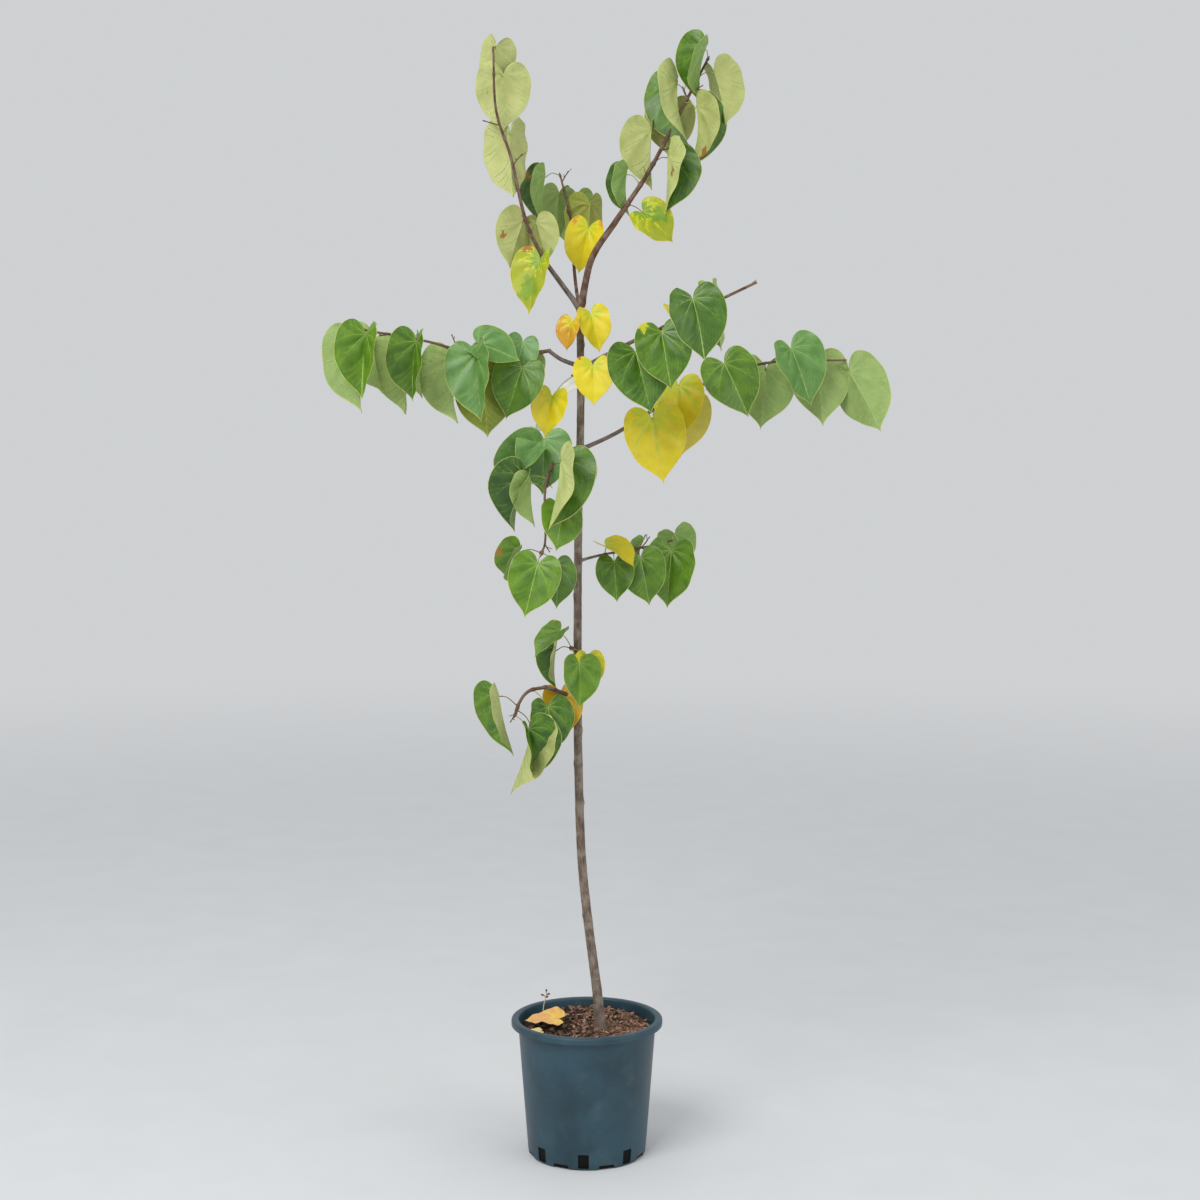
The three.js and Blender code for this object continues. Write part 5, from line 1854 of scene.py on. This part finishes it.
def make_label():
    """The blank label's strip: one turn round the trunk, then its tail with a rounded end."""
    foot, head = TRUNK["route"][0][2], TRUNK["route"][-1][2]
    share = (LABEL["height"] - foot) / (head - foot)
    trunk = point_at(TRUNK["route"], share)
    radius = trunk_radii(trunk[None], share)[0] + LABEL["slack"]
    loop = []
    for part in np.linspace(0, 1, LABEL["turn_points"] + 1):
        x, y = (trunk + direction(lerp(*LABEL["turn"], part), 0) * radius)[:2]
        loop.append((x, y, LABEL["height"]))
    line = along_route([*loop, *LABEL["tail"]], np.linspace(0, 1, STRIP["steps"]))
    across, up = frames_along(line, np.array([0.0, 1.0, 0.0]))
    half = LABEL["width"] / 2
    walked = lengths_along(line)
    left = np.minimum(walked[-1] - walked, half) / half
    width = half * np.sqrt(np.maximum(1 - (1 - left) ** 2, STRIP["narrowest"]))
    columns = np.linspace(-1, 1, STRIP["columns"])[:, None]
    crown = STRIP["crown"] * (1 - columns**2)
    flat = line[:, None] + up[:, None] * (columns * width[:, None, None])
    points = []
    for side in (1, -1):
        thick = side * STRIP["thickness"] / 2
        points.append((flat + across[:, None] * (crown + thick)).reshape(-1, 3))
    shape = Shape(["strip_white"])
    shape.add(np.concatenate(points), slab_faces(STRIP["steps"], STRIP["columns"]), [0, 0, 0])
    label = shape.piece("label_strip")
    fix_normals(label)
    keep(label, "white_strip", "blank_label")


def fix_normals(piece):
    """Turns a closed piece's faces outwards."""
    mesh = bmesh.new()
    mesh.from_mesh(piece.data)
    bmesh.ops.recalc_face_normals(mesh, faces=mesh.faces)
    mesh.to_mesh(piece.data)
    mesh.free()


# Floor, light and camera
WORLD_TINT = (0.86, 0.88, 0.9, 1.0)
WORLD_STRENGTH = 0.72
FLOOR_SIZE = 60.0
FLOOR_FADE = (2.2, 8.0)
FLOOR_TINTS = ((0.7, 0.71, 0.715, 1.0), (0.76, 0.77, 0.775, 1.0))


def floor_finish():
    """Pale floor that fades with distance into the tint of the world behind it."""
    material = bpy.data.materials.new("floor_pale")
    material.use_nodes = True
    tree = material.node_tree
    tree.nodes.remove(tree.nodes["Principled BSDF"])
    place = add_node(tree, "ShaderNodeTexCoord")
    grain = add_node(tree, "ShaderNodeTexNoise", {"Scale": 6.0, "Detail": 6.0})
    tint = add_node(tree, "ShaderNodeMix", dict(zip((6, 7), FLOOR_TINTS)), data_type="RGBA")
    near = add_node(tree, "ShaderNodeBsdfDiffuse")
    far = add_node(tree, "ShaderNodeEmission", {"Color": WORLD_TINT, "Strength": WORLD_STRENGTH})
    length = add_node(tree, "ShaderNodeVectorMath", operation="LENGTH")
    values = {"From Min": FLOOR_FADE[0], "From Max": FLOOR_FADE[1]}
    fade = add_node(tree, "ShaderNodeMapRange", values, interpolation_type="SMOOTHSTEP")
    both = add_node(tree, "ShaderNodeMixShader")
    wire(
        tree, (place, "Object", grain, "Vector"), (grain, "Fac", tint, "Factor"),
        (tint, 2, near, "Color"), (place, "Object", length, 0), (length, "Value", fade, "Value"),
        (fade, "Result", both, 0), (near, 0, both, 1), (far, 0, both, 2),
        (both, 0, tree.nodes["Material Output"], "Surface"),
    )


def make_floor():
    floor_finish()
    half = FLOOR_SIZE / 2 / MM
    shape = Shape(["floor_pale"])
    corners = np.array([(-1, -1, 0), (1, -1, 0), (1, 1, 0), (-1, 1, 0)], float) * half
    shape.add(corners, [[[0, 1, 2, 3]]], [0])
    shape.piece("floor")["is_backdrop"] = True


def make_world():
    world = bpy.data.worlds.new("pale_studio")
    world.use_nodes = True
    back = world.node_tree.nodes["Background"]
    back.inputs["Color"].default_value = WORLD_TINT
    back.inputs["Strength"].default_value = WORLD_STRENGTH
    bpy.context.scene.world = world


LIGHTS = {
    "key": ((-1.9, -3.2, 4.2), (0.0, 0.0, 1.1), 2.6, 130),
    "fill": ((3.4, -2.2, 2.2), (0.0, 0.0, 1.0), 2.4, 26),
}


def make_light(name, place, aim, size, power):
    """A soft square light looking at a point."""
    data = bpy.data.lights.new(name, "AREA")
    data.shape = "SQUARE"
    data.size = size
    data.energy = power
    light = put(name, data)
    light.location = place
    light.rotation_euler = (Vector(aim) - Vector(place)).to_track_quat("-Z", "Y").to_euler()


CAMERA = {"place": (0.0247, -3.670, 1.3316), "pitch": -4.42, "lens": 59.4, "sensor": 36}


def make_camera():
    data = bpy.data.cameras.new("camera")
    data.lens = CAMERA["lens"]
    data.sensor_width = CAMERA["sensor"]
    camera = put("camera", data)
    camera.location = CAMERA["place"]
    camera.rotation_euler = (math.radians(90 + CAMERA["pitch"]), 0, 0)
    bpy.context.scene.camera = camera


def make_all():
    bpy.context.scene.view_settings.view_transform = "Standard"
    make_finishes()
    make_camera()
    make_world()
    make_floor()
    for name, light in LIGHTS.items():
        make_light(name, *light)
    make_pot()
    tree = scatter_tree("Strewn pieces")
    strew_chips(make_compost(), tree)
    make_fallen_leaves()
    make_seedling()
    make_trunk()
    strew_lenticels(tree)
    for name, limb in LIMBS.items():
        make_bough(name, limb)
    make_label()
    for name, spray in SPRAYS.items():
        make_spray(name, spray)


make_all()
boxes = {"cad": cad_box, "visual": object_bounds()}
{key: [list(corner) for corner in box] for key, box in boxes.items()}
